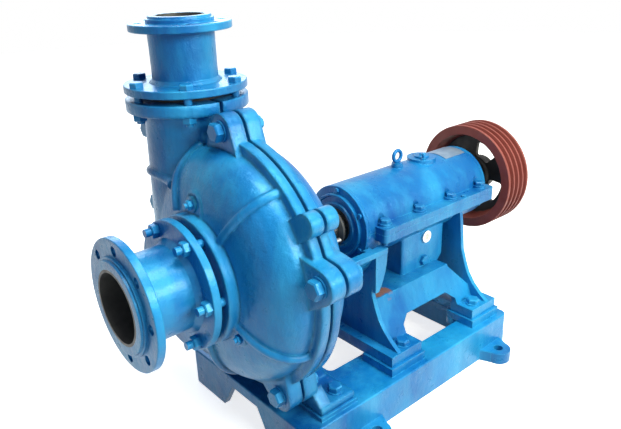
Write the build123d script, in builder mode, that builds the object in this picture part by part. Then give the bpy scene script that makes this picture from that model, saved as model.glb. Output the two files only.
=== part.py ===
# Rubber lined slurry pump, single stage, end suction, with an upright discharge.
# Millimetres. +X runs along the shaft to the drive end, +Z is up, the underside of the base is z = 0.
import os
from math import acos, atan2, cos, degrees, hypot, radians, sin, sqrt
from build123d import *

os.makedirs("parts", exist_ok=True)

# Frame: the origin is the centre of the foundation holes on the underside of the base
SHAFT_Z = 437.0
PART_X = -406.0
NECK_Y = 178.0

# Clearances
BOLT_GAP = 1.0
RUN_GAP = 0.3
SEAT_GAP = 0.3
TAP_GAP = 0.1

# Casing halves, x counted from the parting plane
SEAM = 4.0
RING_R = 294.0
RING_T = 26.0
WALL_IN = 92.0
CASING_WALL = 21.0
CAVITY_R = 250.0
BACK_X = WALL_IN + 24.0
NECK_R = 100.0
NECK_BORE = 66.0
NECK_TOP = 355.0
NECK_FLANGE_R = 137.0
NECK_FLANGE_T = 26.0
NECK_BOLT_R = NECK_FLANGE_R - 17.0
NECK_BOLTS = 6
LUG_ANGLES = (14.0, 91.3, 168.5, 239.0, 300.0)
LUG_BOLT_R = RING_R + 14.0
LUG_R = 37.0
LUG_DROP = 46.0
LUG_SPREAD = 56.0
LUG_T = 40.0
LUG_BOLT = 12.0
LOBE_ANGLE = 146.5
LOBE_R = 25.0
LOBE_T = 34.0
NECK_LUG_Y = NECK_Y + NECK_R + 20.0
NECK_LUG_Z = 262.0
NECK_LUG_R = 26.0
CASE_FLANGE_T = 26.0
CASE_FLANGE_R = 145.0
CASE_FLANGE_X = -(WALL_IN + CASING_WALL + CASE_FLANGE_T)
STUD_R = 9.0
SUCTION_STUDS = 6
SUCTION_STUD_PCR = CASE_FLANGE_R - 20.0
LINER_STUD_R = 6.0
LINER_STUD_PCR = CASE_FLANGE_R + 3 * LINER_STUD_R + 2.0
LINER_STUD_ANGLES = (87.0, 214.0, 334.0)
LINER_BOSS_H = 24.0
RIB_R = 10.5
RIB_ANGLES = (129.0, 206.5, 268.0, 312.0)
EDGE = 1.5

# Rubber lining
RUBBER_T = 16.0
THROAT_R = 75.0
LINER_LIP_R = SUCTION_STUD_PCR - STUD_R - 8.0
SEAM_LIP_R = RING_R - 12.0
SEAM_NECK_W = NECK_R - 10.0
LINER_LIP_T = 10.0
NECK_LIP_R = NECK_BORE + 26.0
NECK_LIP_T = 8.0
SPOOL_LIP_T = 6.0
SPOOL_LINING_T = 6.0

# Suction spool
SUCTION_FLANGE_X = -297.0
SUCTION_FACE = SUCTION_FLANGE_X - 12.0
SUCTION_FLANGE_T = 18.0
SUCTION_FLANGE_R = 142.5
SUCTION_PCR = 120.0
SUCTION_HOLES = 8
SUCTION_HOLE_R = 11.0
SUCTION_COLLAR_R = 106.0
SPOOL_R = 94.0
SPOOL_FLANGE_T = 18.0

# Discharge spool
DISCHARGE_FLANGE_Z = 513.0
DISCHARGE_FACE = DISCHARGE_FLANGE_Z + 14.0
DISCHARGE_FLANGE_R = 112.0
DISCHARGE_FLANGE_T = 16.0
DISCHARGE_PCR = 90.0
DISCHARGE_HOLES = 8
DISCHARGE_HOLE_R = 9.0
DISCHARGE_COLLAR_R = 74.0
DISCHARGE_R = 50.0
RISER_R = 73.0
RISER_FLANGE_T = 17.0

# Stuffing box and gland
BOX_R = 62.0
BOX_FLANGE_R = 92.0
BOX_FLANGE_T = 14.0
BOX_SCREWS = 6
BOX_SCREW_R = 5.0
BOX_SCREW_PCR = 78.0
BOX_SEAT = BACK_X - 20.0
PACKING_R = 45.0
RING_W = 12.0
PACKING_PLACES = 6
LANTERN_PLACE = 3
GLAND_TRAVEL = 14.0
GLAND_NOSE = 14.0
GLAND_T = 14.0
GLAND_R = 60.0
GLAND_STUD_Y = 72.0
GLAND_STUD_R = 6.0
GLAND_NUT_H = 10.0
BOX_END = BOX_SEAT + PACKING_PLACES * RING_W + GLAND_NOSE
GLAND_X = BOX_END + 2.0

# Rotor
SHAFT_R = 25.0
SLEEVE_R = 32.0
SEAL_SEAT_R = 32.0
JOURNAL_R = 35.0
SHAFT_BODY_R = 42.0
SHAFT_END_R = 28.0
SHAFT_START = -10.0
HUB_BACK = WALL_IN - 22.0
SLEEVE_END = BOX_END + 54.0
IMPELLER_R = 168.0
IMPELLER_FRONT = -72.0
SHROUD_T = 13.0
HUB_R = 46.0
VANES = 5
FLINGER_R = 48.0

# Bearing housing and pedestal
HOUSING_R = 103.0
HOUSING_X0 = 302.0
HOUSING_X1 = 768.0
BEARING_R = 75.0
BEARING_W = 35.0
BEARING_INSET = 24.0
RACE_T = 13.0
ROLLER_R = 6.7
ROLLERS = 16
OIL_R = 82.0
COVER_T = 10.0
COVER_DISC_R = 83.0
COVER_DISC_T = 8.0
SEAL_T = 12.0
COVER_BOLT_R = 92.0
COVER_SCREWS = 6
COVER_SCREW_R = 4.0
FLANGE_Y = 138.0
CAP_FLANGE_T = 16.0
LOWER_FLANGE_T = 20.0
CAP_BOLT_Y = HOUSING_R + 7.0
CAP_BOLTS = 4
CAP_BOLT_R = 8.0
CAP_PAD_R = 18.0
CAP_PAD_H = 6.0
JACK_X = 640.0
JACK_Y = FLANGE_Y - 10.0
JACK_R = 4.0
JACK_DEPTH = 12.0
WEB_T = 12.0
LEDGE_Z = -177.0
FOOT_Z = -312.0
FOOT_T = 28.0
FOOT_Y = 215.0
FOOT_BOLT_Y = 190.0
FOOT_BOLT_X = (332.0, 628.0)
FOOT_BOLT_R = 10.0
COLUMN_X0 = 455.0
COLUMN_X1 = 628.0
COLUMN_Y = 76.0
YOKE_R = 134.0
YOKE_T = 12.0
YOKE_FLANGE_T = 14.0
YOKE_RIM_Z = -32.0
YOKE_BOLT_R = YOKE_R - 26.0
YOKE_END_X = 332.0
YOKE_END_Z = -146.0
YOKE_SCREW_R = 6.0
YOKE_ANGLES = (207.0, 238.0, 270.0, 302.0, 333.0)

# Fittings of the bearing housing
BOSS_TOP = HOUSING_R + 7.0
EYE_X = 512.0
EYE_R = 14.5
EYE_WIRE_R = 5.0
EYE_SHANK_R = 8.0
INSPECTION_X = 612.0
INSPECTION_BOSS_R = 40.0
INSPECTION_R = 21.0
INSPECTION_BORE = 14.0
BREATHER_X = INSPECTION_X - 20.0
BREATHER_Y = -24.0
BREATHER_R = 4.0
PLATE_X = 715.0
PLATE_L = 86.0
PLATE_W = 76.0
PLATE_T = 1.5
GAUGE_X = 548.0
GAUGE_Z = -88.0
GAUGE_R = 12.0
LENS_R = 9.0
DRAIN_X = 542.0
DRAIN_Z = -157.0
DRAIN_R = 8.0

# Base
DECK_Z = -334.0
DECK_T = 18.0
BASE_X0 = -30.0
BASE_X1 = 731.0
BASE_Y = 240.0
BASE_WALL = 16.0
PAD_H = FOOT_Z - DECK_Z
PUMP_PAD_H = 10.0
EAR_X = (160.0, 652.0)
EAR_Y = 268.0
EAR_T = 32.0
EAR_R = 34.0
EAR_HOLE_R = 13.0
BASE_RIB_X = (142.0, 392.0, 668.0)
BAY_BOSS_X = 604.0
BAY_BOSS_Y = 146.0
BAY_BOSS_R = 20.0
BAY_BOSS_HOLE_R = 7.0
PUMP_FOOT_T = 18.0
PUMP_FOOT_X0 = 30.0
PUMP_FOOT_X1 = 131.0
PUMP_FOOT_Y = 220.0
PUMP_BOLT_X = 100.0
PUMP_BOLT_Y = 188.0

# Sheave
SHEAVE_X = 815.0
SHEAVE_R = 157.0
GROOVES = 4
GROOVE_PITCH = 22.0
GROOVE_DEPTH = 17.0
RIM_SIDE = 16.0
SHEAVE_W = (GROOVES - 1) * GROOVE_PITCH + 2 * RIM_SIDE
SHEAVE_HUB_R = 50.0
SHEAVE_HUB_END = SHEAVE_X + 90.0
SHEAVE_WINDOWS = 4
SHEAVE_WINDOW_TURN = 26.0
SHEAVE_WINDOW_HALF = 21.0
SHEAVE_WINDOW_R0 = SHEAVE_HUB_R + 9.0
SHEAVE_WINDOW_R1 = SHEAVE_R - 54.0
SHAFT_END = SHEAVE_HUB_END + 17.0
KEY_W = 16.0
KEY_H = 10.0
KEY_L = 76.0

# Places worked out from the sizes above
CAGE_R = (JOURNAL_R + BEARING_R) / 2
BEARING_X0 = HOUSING_X0 + BEARING_INSET
BEARING_X1 = HOUSING_X1 - BEARING_INSET - BEARING_W
FLANGE_X0 = HOUSING_X0 + 20.0
CAP_BOLT_FIRST = FLANGE_X0 + 26.0
CAP_BOLT_STEP = (HOUSING_X1 - 33.0 - CAP_BOLT_FIRST) / (CAP_BOLTS - 1)
CAP_BOLT_X = [CAP_BOLT_FIRST + i * CAP_BOLT_STEP for i in range(CAP_BOLTS)]
WEB_X0 = HOUSING_X0 - COVER_T
WEB_X1 = COLUMN_X1 + 30.0
ORIGIN = Vector(PART_X, 0, SHAFT_Z)
SHAFT = Axis((PART_X, 0, SHAFT_Z), (1, 0, 0))
NECK = Axis((PART_X, NECK_Y, SHAFT_Z), (0, 0, 1))
SIDE = Plane(origin=(PART_X, 0, SHAFT_Z), x_dir=(1, 0, 0), z_dir=(0, -1, 0))
NECK_SIDE = Plane(origin=(PART_X, NECK_Y, SHAFT_Z), x_dir=(1, 0, 0), z_dir=(0, -1, 0))
REACH = 400.0


def at_x(x):
    # Plane across the shaft, local x is +Y and local y is +Z
    return Plane(origin=(PART_X + x, 0, SHAFT_Z), x_dir=(0, 1, 0), z_dir=(1, 0, 0))


def at_z(z, y=0.0):
    # Level plane, local x is +X and local y is +Y
    return Plane(origin=(PART_X, y, SHAFT_Z + z), x_dir=(1, 0, 0), z_dir=(0, 0, 1))


def at_y(y):
    # Upright plane along the shaft, facing the near side
    return Plane(origin=(PART_X, y, SHAFT_Z), x_dir=(1, 0, 0), z_dir=(0, -1, 0))


def turn(*points, axis=SHAFT, plane=SIDE):
    # Solid of revolution from a closed outline of (x, r) or (r, z) points
    with BuildPart() as body:
        with BuildSketch(plane):
            with BuildLine():
                Polyline(*points, close=True)
            make_face()
        revolve(axis=axis)
    return body.part


def ring(x0, x1, r0, r1, edge=0.0):
    # Ring about the shaft with an optional chamfer on its outer edges
    if edge:
        return turn((x0, r0), (x0, r1 - edge), (x0 + edge, r1), (x1 - edge, r1), (x1, r1 - edge), (x1, r0))
    return turn((x0, r0), (x0, r1), (x1, r1), (x1, r0))


def neck_ring(z0, z1, r0, r1):
    # Ring about the discharge axis
    return turn((r0, z0), (r1, z0), (r1, z1), (r0, z1), axis=NECK, plane=NECK_SIDE)


def hexagon(width, height, edge):
    # Hexagon standing on z = 0 with its top corners taken off
    with BuildPart() as body:
        with BuildSketch():
            RegularPolygon(width / sqrt(3), 6)
        extrude(amount=height)
        chamfer(body.faces().sort_by(Axis.Z)[-1].edges(), edge)
    return body.part


def bolt(r, grip, washer=0.0, tail=0.0, nut=True):
    # Hexagon bolt along z: the head stands on z = 0 and the shank goes down through the grip
    with BuildPart() as body:
        if washer:
            with BuildSketch():
                Circle(2.0 * r)
            extrude(amount=washer)
        with Locations((0, 0, washer)):
            add(hexagon(3.1 * r, 1.35 * r, 0.25 * r))
        with BuildSketch():
            Circle(r)
        extrude(amount=-(grip + (1.6 * r if nut else 0.0) + tail))
        if nut:
            with Locations((0, 0, -grip)):
                add(hexagon(3.1 * r, 1.6 * r, 0.25 * r).mirror(Plane.XY))
    return body.part


def stud(r, low, high, nut_at):
    # Stud along z from low to high, with a nut standing on nut_at
    with BuildPart() as body:
        with BuildSketch(Plane.XY.offset(low)):
            Circle(r)
        extrude(amount=high - low)
        with Locations((0, 0, nut_at)):
            add(hexagon(3.1 * r, 1.6 * r, 0.25 * r))
    return body.part


def rib(points, r):
    # Half round rib whose centre line follows the casing wall
    with BuildPart() as body:
        with BuildLine() as path:
            Spline(*[ORIGIN + Vector(*p) for p in points])
        with BuildSketch(Plane(origin=path.wire() @ 0, z_dir=path.wire() % 0)):
            Circle(r)
        sweep(path=path.wire())
    return body.part


def polar(r, angle):
    return (r * cos(radians(angle)), r * sin(radians(angle)))


LUG_PLACES = [polar(LUG_BOLT_R, angle) for angle in LUG_ANGLES] + [(NECK_LUG_Y, NECK_LUG_Z)]


# Shapes shared by the casing halves and the lining
def bowl_line(side):
    # Outline of the casing outside from the ring to the end flange, as (x, r), on either side
    outer_x = WALL_IN + CASING_WALL
    outer_r = CAVITY_R + CASING_WALL
    points = ((SEAM, 0), (SEAM, RING_R), (RING_T - EDGE, RING_R), (RING_T, RING_R - EDGE),
              (RING_T, outer_r), (outer_x - 65, outer_r - 3), (outer_x - 47, outer_r - 13),
              (outer_x - 31, outer_r - 29), (outer_x - 17, outer_r - 52), (outer_x - 7, outer_r - 81),
              (outer_x, outer_r - 119))
    return [(side * x, r) for x, r in points]


def chamber(side, inset, throat):
    # Solid that the lining fills on one side of the parting plane, or its hollow when inset is the rubber
    depth = WALL_IN - inset
    points = ((0, 0), (0.52, 2), (0.74, 10), (0.89, 30), (0.98, 56), (1.0, 90))
    outline = [(side * depth * share, CAVITY_R - inset - drop) for share, drop in points]
    return turn((0, 0), *outline, (side * depth, throat), (side * depth, 0))


def half_space(side, start):
    # Block that keeps what lies further than start from the parting plane, on one side
    with BuildPart() as body:
        with Locations((PART_X + side * (start + REACH), 0, SHAFT_Z)):
            Box(2 * REACH, 4 * REACH, 4 * REACH)
    return body.part


def neck_outside(side):
    # Tapered neck with its flange, one half
    low = NECK_TOP - NECK_FLANGE_T
    with BuildPart() as body:
        add(turn((0, 20), (NECK_R + 8, 20), (NECK_R, low - 30), (NECK_R + 2, low),
                 (NECK_FLANGE_R - EDGE, low), (NECK_FLANGE_R, low + EDGE), (NECK_FLANGE_R, NECK_TOP - EDGE),
                 (NECK_FLANGE_R - EDGE, NECK_TOP), (0, NECK_TOP), axis=NECK, plane=NECK_SIDE))
        add(half_space(side, SEAM), mode=Mode.INTERSECT)
    return body.part


def neck_lining(side):
    # Half of the rubber tube in the neck with its lip on the flange
    with BuildPart() as body:
        add(neck_ring(0, NECK_TOP, 0, NECK_BORE))
        add(neck_ring(NECK_TOP, NECK_TOP + NECK_LIP_T, 0, NECK_LIP_R))
        add(half_space(side, 0), mode=Mode.INTERSECT)
    return body.part


def seam_lip(side):
    # Rubber joint between the casing halves, round the ring and up both sides of the neck
    with BuildPart() as body:
        add(ring(min(0, side * SEAM), max(0, side * SEAM), 0, SEAM_LIP_R))
        with Locations((PART_X + side * SEAM / 2, NECK_Y, SHAFT_Z + NECK_TOP / 2)):
            Box(SEAM, 2 * SEAM_NECK_W, NECK_TOP)
    return body.part


def lugs(side):
    # Clamping lugs round the parting ring, one on the far side of the neck, and a plain lobe
    spread = hypot(LUG_DROP, LUG_SPREAD)
    touch = degrees(atan2(LUG_SPREAD, -LUG_DROP) - acos(LUG_R / spread))
    touch_u, touch_v = polar(LUG_R, touch)
    with BuildPart() as body:
        for angle in LUG_ANGLES:
            with BuildSketch(at_x(side * SEAM) * Pos(*polar(LUG_BOLT_R, angle), 0) * Rot(0, 0, angle)):
                Circle(LUG_R)
                with BuildLine():
                    Polyline((touch_u, touch_v), (-LUG_DROP, LUG_SPREAD), (-LUG_DROP - 14, LUG_SPREAD),
                             (-LUG_DROP - 14, -LUG_SPREAD), (-LUG_DROP, -LUG_SPREAD), (touch_u, -touch_v),
                             close=True)
                make_face()
        extrude(amount=side * (LUG_T - SEAM))
        with BuildSketch(at_x(side * SEAM) * Pos(*polar(LUG_BOLT_R, LOBE_ANGLE), 0) * Rot(0, 0, LOBE_ANGLE)):
            Circle(LOBE_R)
            with Locations((-LOBE_R, 0)):
                Rectangle(2 * LOBE_R, 2 * LOBE_R)
        extrude(amount=side * (LOBE_T - SEAM))
        with BuildSketch(at_x(side * SEAM)):
            with Locations((NECK_LUG_Y, NECK_LUG_Z)):
                Circle(NECK_LUG_R)
            with Locations(((NECK_LUG_Y + NECK_Y + NECK_R - 14) / 2, NECK_LUG_Z)):
                Rectangle(NECK_LUG_Y - NECK_Y - NECK_R + 14, 2 * NECK_LUG_R)
        extrude(amount=side * (LUG_T - SEAM))
    return body.part


def lug_holes():
    # Bolt holes through the lugs with a spot face at each end
    with BuildPart() as body:
        with BuildSketch(at_x(-LUG_T - 1)):
            with Locations(LUG_PLACES):
                Circle(LUG_BOLT + BOLT_GAP)
        extrude(amount=2 * LUG_T + 2)
        for side in (-1, 1):
            with BuildSketch(at_x(side * LUG_T)):
                with Locations(LUG_PLACES):
                    Circle(2 * LUG_BOLT + 2)
            extrude(amount=side * 2 * LUG_T)
    return body.part


def neck_holes():
    with BuildPart() as body:
        with BuildSketch(at_z(NECK_TOP - NECK_FLANGE_T - 1, NECK_Y)):
            with PolarLocations(NECK_BOLT_R, NECK_BOLTS):
                Circle(STUD_R + BOLT_GAP)
        extrude(amount=NECK_FLANGE_T + 2)
    return body.part


# Front casing half, a ribbed bowl with half of the discharge neck across it
bowl_x = -(WALL_IN + CASING_WALL)
with BuildPart() as casing_front:
    add(turn(*bowl_line(-1), (bowl_x, 0)))
    add(ring(CASE_FLANGE_X, bowl_x, 0, CASE_FLANGE_R, EDGE))
    add(neck_outside(-1))
    add(lugs(-1))
    add(rib([(-36, 80, 262), (-68, 84, 240), (-91, 91, 207), (-106, 84, 170), (-113, 74, 134)], RIB_R))
    for rib_angle in RIB_ANGLES:
        add(rib([(x, *polar(r, rib_angle)) for x, r in ((-113, 140), (-106, 194), (-79, 248), (-24, 274))],
                RIB_R))
    add(rib([(-52, 262, 178), (-86, 230, 185), (-100, 190, 190), (-96, 150, 186), (-101, 106, 180)], RIB_R))
    add(rib([(-107, 26, 178), (-106, 10, 190), (-106, -8, 188), (-108, -22, 172), (-113, -25, 140)],
            RIB_R / 2))
    with BuildSketch(at_x(-WALL_IN)):
        for boss_angle in LINER_STUD_ANGLES:
            with Locations(polar(LINER_STUD_PCR, boss_angle)):
                Circle(3 * LINER_STUD_R)
    extrude(amount=-LINER_BOSS_H)
    add(chamber(-1, 0, NECK_BORE), mode=Mode.SUBTRACT)
    add(ring(CASE_FLANGE_X - 1, -WALL_IN + 1, 0, THROAT_R + RUBBER_T), mode=Mode.SUBTRACT)
    add(neck_ring(0, NECK_TOP + 1, 0, NECK_BORE), mode=Mode.SUBTRACT)
    add(lug_holes(), mode=Mode.SUBTRACT)
    add(neck_holes(), mode=Mode.SUBTRACT)
    with BuildSketch(at_x(CASE_FLANGE_X)):
        with PolarLocations(SUCTION_STUD_PCR, SUCTION_STUDS):
            Circle(STUD_R + TAP_GAP)
    extrude(amount=CASE_FLANGE_T - 6, mode=Mode.SUBTRACT)
    with BuildSketch(at_x(-WALL_IN + 1)):
        for boss_angle in LINER_STUD_ANGLES:
            with Locations(polar(LINER_STUD_PCR, boss_angle)):
                Circle(LINER_STUD_R + BOLT_GAP / 2)
    extrude(amount=-LINER_BOSS_H - 16, mode=Mode.SUBTRACT)

# Rear casing half with its foot
with BuildPart() as casing_rear:
    add(turn(*bowl_line(1), (BACK_X, CAVITY_R - 98), (BACK_X, 0)))
    add(neck_outside(1))
    add(lugs(1))
    add(ring(BACK_X - 16, BACK_X + 16, 0, YOKE_R + 6, EDGE))
    foot_z = DECK_Z + PUMP_PAD_H + PUMP_FOOT_T
    with BuildSketch(at_x(PUMP_FOOT_X0)):
        with BuildLine():
            Polyline((-150, -120), (-168, foot_z + 48), (6 - PUMP_FOOT_Y, foot_z),
                     (PUMP_FOOT_Y - 6, foot_z), (168, foot_z + 48), (150, -120), close=True)
        make_face()
    extrude(amount=32)
    with BuildSketch(at_z(DECK_Z + PUMP_PAD_H)):
        with Locations(((PUMP_FOOT_X0 + PUMP_FOOT_X1) / 2, 0)):
            Rectangle(PUMP_FOOT_X1 - PUMP_FOOT_X0, 2 * PUMP_FOOT_Y)
    extrude(amount=PUMP_FOOT_T)
    for side in (-1, 1):
        with BuildSketch(at_y(side * 120 + 8)):
            with BuildLine():
                Polyline((60, -180), (60, foot_z - 1), (PUMP_FOOT_X1 - 3, foot_z - 1), (96, -240),
                         (84, -180), close=True)
            make_face()
        extrude(amount=16)
    add(chamber(1, 0, NECK_BORE), mode=Mode.SUBTRACT)
    add(ring(WALL_IN - 1, BACK_X + 17, 0, BOX_R + SEAT_GAP), mode=Mode.SUBTRACT)
    add(ring(BACK_X, BACK_X + 17, 0, BOX_FLANGE_R + 6), mode=Mode.SUBTRACT)
    add(neck_ring(0, NECK_TOP + 1, 0, NECK_BORE), mode=Mode.SUBTRACT)
    add(lug_holes(), mode=Mode.SUBTRACT)
    add(neck_holes(), mode=Mode.SUBTRACT)
    with BuildSketch(at_z(foot_z + 1)):
        with Locations((PUMP_BOLT_X, PUMP_BOLT_Y), (PUMP_BOLT_X, -PUMP_BOLT_Y)):
            Circle(FOOT_BOLT_R + BOLT_GAP)
    extrude(amount=-PUMP_FOOT_T - 2, mode=Mode.SUBTRACT)
    with BuildSketch(at_x(BACK_X + 16)):
        for yoke_angle in YOKE_ANGLES:
            with Locations(polar(YOKE_BOLT_R, yoke_angle)):
                Circle(YOKE_SCREW_R + TAP_GAP)
    extrude(amount=-20, mode=Mode.SUBTRACT)
    with BuildSketch(at_x(BACK_X)):
        with PolarLocations(BOX_SCREW_PCR, BOX_SCREWS, 180 / BOX_SCREWS):
            Circle(BOX_SCREW_R + TAP_GAP)
    extrude(amount=-16, mode=Mode.SUBTRACT)

# Front lining: one moulded half with its suction lip and half of the discharge lip
with BuildPart() as front_liner:
    add(chamber(-1, 0, THROAT_R))
    add(ring(CASE_FLANGE_X, -WALL_IN, 0, THROAT_R + RUBBER_T))
    add(ring(CASE_FLANGE_X - LINER_LIP_T, CASE_FLANGE_X, 0, LINER_LIP_R))
    add(neck_lining(-1))
    add(seam_lip(-1))
    add(chamber(-1, RUBBER_T, THROAT_R), mode=Mode.SUBTRACT)
    add(ring(CASE_FLANGE_X - LINER_LIP_T - 1, RUBBER_T - WALL_IN + 16, 0, THROAT_R), mode=Mode.SUBTRACT)
    add(neck_ring(0, NECK_TOP + NECK_LIP_T + 1, 0, DISCHARGE_R), mode=Mode.SUBTRACT)
    with BuildSketch(at_x(-WALL_IN + RUBBER_T / 2)):
        for boss_angle in LINER_STUD_ANGLES:
            with Locations(polar(LINER_STUD_PCR, boss_angle)):
                Circle(LINER_STUD_R)
    extrude(amount=-LINER_BOSS_H - 16, mode=Mode.SUBTRACT)

# Rear lining
with BuildPart() as rear_liner:
    add(chamber(1, 0, BOX_R))
    add(neck_lining(1))
    add(seam_lip(1))
    add(chamber(1, RUBBER_T, THROAT_R), mode=Mode.SUBTRACT)
    add(ring(WALL_IN - 2 * RUBBER_T, WALL_IN + 1, 0, BOX_R + SEAT_GAP), mode=Mode.SUBTRACT)
    add(neck_ring(0, NECK_TOP + NECK_LIP_T + 1, 0, DISCHARGE_R), mode=Mode.SUBTRACT)

# Suction spool: flanged pipe with a stepped raised face
spool_rear = CASE_FLANGE_X - LINER_LIP_T - SPOOL_LIP_T
spool_front = spool_rear - SPOOL_FLANGE_T
spool_bore = THROAT_R + SPOOL_LINING_T
spool_end_r = CASE_FLANGE_R - 1
flange_back = SUCTION_FLANGE_X + SUCTION_FLANGE_T
with BuildPart() as suction_spool:
    add(turn((SUCTION_FACE, spool_bore), (SUCTION_FACE, SUCTION_COLLAR_R - 7),
             (SUCTION_FACE + 5, SUCTION_COLLAR_R - 6), (SUCTION_FACE + 5, SUCTION_COLLAR_R - 1),
             (SUCTION_FACE + 6, SUCTION_COLLAR_R), (SUCTION_FLANGE_X, SUCTION_COLLAR_R),
             (SUCTION_FLANGE_X, SUCTION_FLANGE_R - EDGE), (SUCTION_FLANGE_X + EDGE, SUCTION_FLANGE_R),
             (flange_back - EDGE, SUCTION_FLANGE_R), (flange_back, SUCTION_FLANGE_R - EDGE),
             (flange_back, SPOOL_R + 5), (flange_back + 5, SPOOL_R), (spool_front - 12, SPOOL_R),
             (spool_front, SPOOL_R + 11), (spool_front, spool_end_r - EDGE),
             (spool_front + EDGE, spool_end_r), (spool_rear - EDGE, spool_end_r),
             (spool_rear, spool_end_r - EDGE), (spool_rear, spool_bore)))
    with BuildSketch(at_x(SUCTION_FLANGE_X - 1)):
        with PolarLocations(SUCTION_PCR, SUCTION_HOLES):
            Circle(SUCTION_HOLE_R)
    extrude(amount=SUCTION_FLANGE_T + 2, mode=Mode.SUBTRACT)
    with BuildSketch(at_x(spool_front - 1)):
        with PolarLocations(SUCTION_STUD_PCR, SUCTION_STUDS):
            Circle(STUD_R + BOLT_GAP)
    extrude(amount=SPOOL_FLANGE_T + 2, mode=Mode.SUBTRACT)

# Rubber sleeve inside the suction spool, with its rear lip
with BuildPart() as suction_lining:
    add(turn((SUCTION_FACE, THROAT_R), (SUCTION_FACE, spool_bore), (spool_rear, spool_bore),
             (spool_rear, LINER_LIP_R), (spool_rear + SPOOL_LIP_T, LINER_LIP_R),
             (spool_rear + SPOOL_LIP_T, THROAT_R)))

# Studs that join the suction spool to the front casing
suction_stud = stud(STUD_R, -CASE_FLANGE_X - CASE_FLANGE_T + 6, -spool_front + 28, -spool_front)
with BuildPart() as suction_studs:
    for i in range(SUCTION_STUDS):
        with Locations(at_x(0) * Pos(*polar(SUCTION_STUD_PCR, i * 360 / SUCTION_STUDS), 0) * Rot(180, 0, 0)):
            add(suction_stud)

# Discharge spool
riser_low = NECK_TOP + NECK_LIP_T + SPOOL_LIP_T
riser_bore = DISCHARGE_R + SPOOL_LINING_T
riser_flange_top = riser_low + RISER_FLANGE_T
discharge_under = DISCHARGE_FLANGE_Z - DISCHARGE_FLANGE_T
with BuildPart() as discharge_spool:
    add(turn((riser_bore, riser_low), (NECK_FLANGE_R - EDGE, riser_low), (NECK_FLANGE_R, riser_low + EDGE),
             (NECK_FLANGE_R, riser_flange_top - EDGE), (NECK_FLANGE_R - EDGE, riser_flange_top),
             (RISER_R + 8, riser_flange_top), (RISER_R, riser_flange_top + 8),
             (RISER_R, discharge_under - 4), (RISER_R + 4, discharge_under),
             (DISCHARGE_FLANGE_R - EDGE, discharge_under), (DISCHARGE_FLANGE_R, discharge_under + EDGE),
             (DISCHARGE_FLANGE_R, DISCHARGE_FLANGE_Z - EDGE),
             (DISCHARGE_FLANGE_R - EDGE, DISCHARGE_FLANGE_Z), (DISCHARGE_COLLAR_R, DISCHARGE_FLANGE_Z),
             (DISCHARGE_COLLAR_R, DISCHARGE_FACE - 6), (DISCHARGE_COLLAR_R - 5, DISCHARGE_FACE - 5),
             (DISCHARGE_COLLAR_R - 6, DISCHARGE_FACE), (riser_bore, DISCHARGE_FACE), axis=NECK,
             plane=NECK_SIDE))
    with BuildSketch(at_z(discharge_under - 1, NECK_Y)):
        with PolarLocations(DISCHARGE_PCR, DISCHARGE_HOLES, 180 / DISCHARGE_HOLES):
            Circle(DISCHARGE_HOLE_R)
    extrude(amount=DISCHARGE_FLANGE_T + 2, mode=Mode.SUBTRACT)
    with BuildSketch(at_z(riser_low - 1, NECK_Y)):
        with PolarLocations(NECK_BOLT_R, NECK_BOLTS):
            Circle(STUD_R + BOLT_GAP)
    extrude(amount=RISER_FLANGE_T + 2, mode=Mode.SUBTRACT)

# Rubber sleeve inside the discharge spool, with its lower lip
with BuildPart() as discharge_lining:
    add(turn((DISCHARGE_R, riser_low - SPOOL_LIP_T), (NECK_LIP_R, riser_low - SPOOL_LIP_T),
             (NECK_LIP_R, riser_low), (riser_bore, riser_low), (riser_bore, DISCHARGE_FACE),
             (DISCHARGE_R, DISCHARGE_FACE), axis=NECK, plane=NECK_SIDE))

# Bolts through the discharge joint
discharge_bolt = bolt(STUD_R, riser_flange_top - NECK_TOP + NECK_FLANGE_T, tail=5)
with BuildPart() as discharge_bolts:
    with Locations(at_z(riser_flange_top, NECK_Y)):
        with PolarLocations(NECK_BOLT_R, NECK_BOLTS):
            add(discharge_bolt)

# Bolts through the casing lugs, heads to the front
lug_bolt = bolt(LUG_BOLT, 2 * LUG_T, washer=3, tail=6)
with BuildPart() as casing_bolts:
    for y, z in LUG_PLACES:
        with Locations(at_x(-LUG_T) * Pos(y, z, 0) * Rot(0, 180, 0)):
            add(lug_bolt)

# Studs that hold the front lining, with nuts on the casing bosses
liner_stud = stud(LINER_STUD_R, WALL_IN - RUBBER_T / 2, WALL_IN + LINER_BOSS_H + 16, WALL_IN + LINER_BOSS_H)
with BuildPart() as liner_studs:
    for angle in LINER_STUD_ANGLES:
        with Locations(at_x(0) * Pos(*polar(LINER_STUD_PCR, angle), 0) * Rot(180, 0, 0)):
            add(liner_stud)

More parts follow.
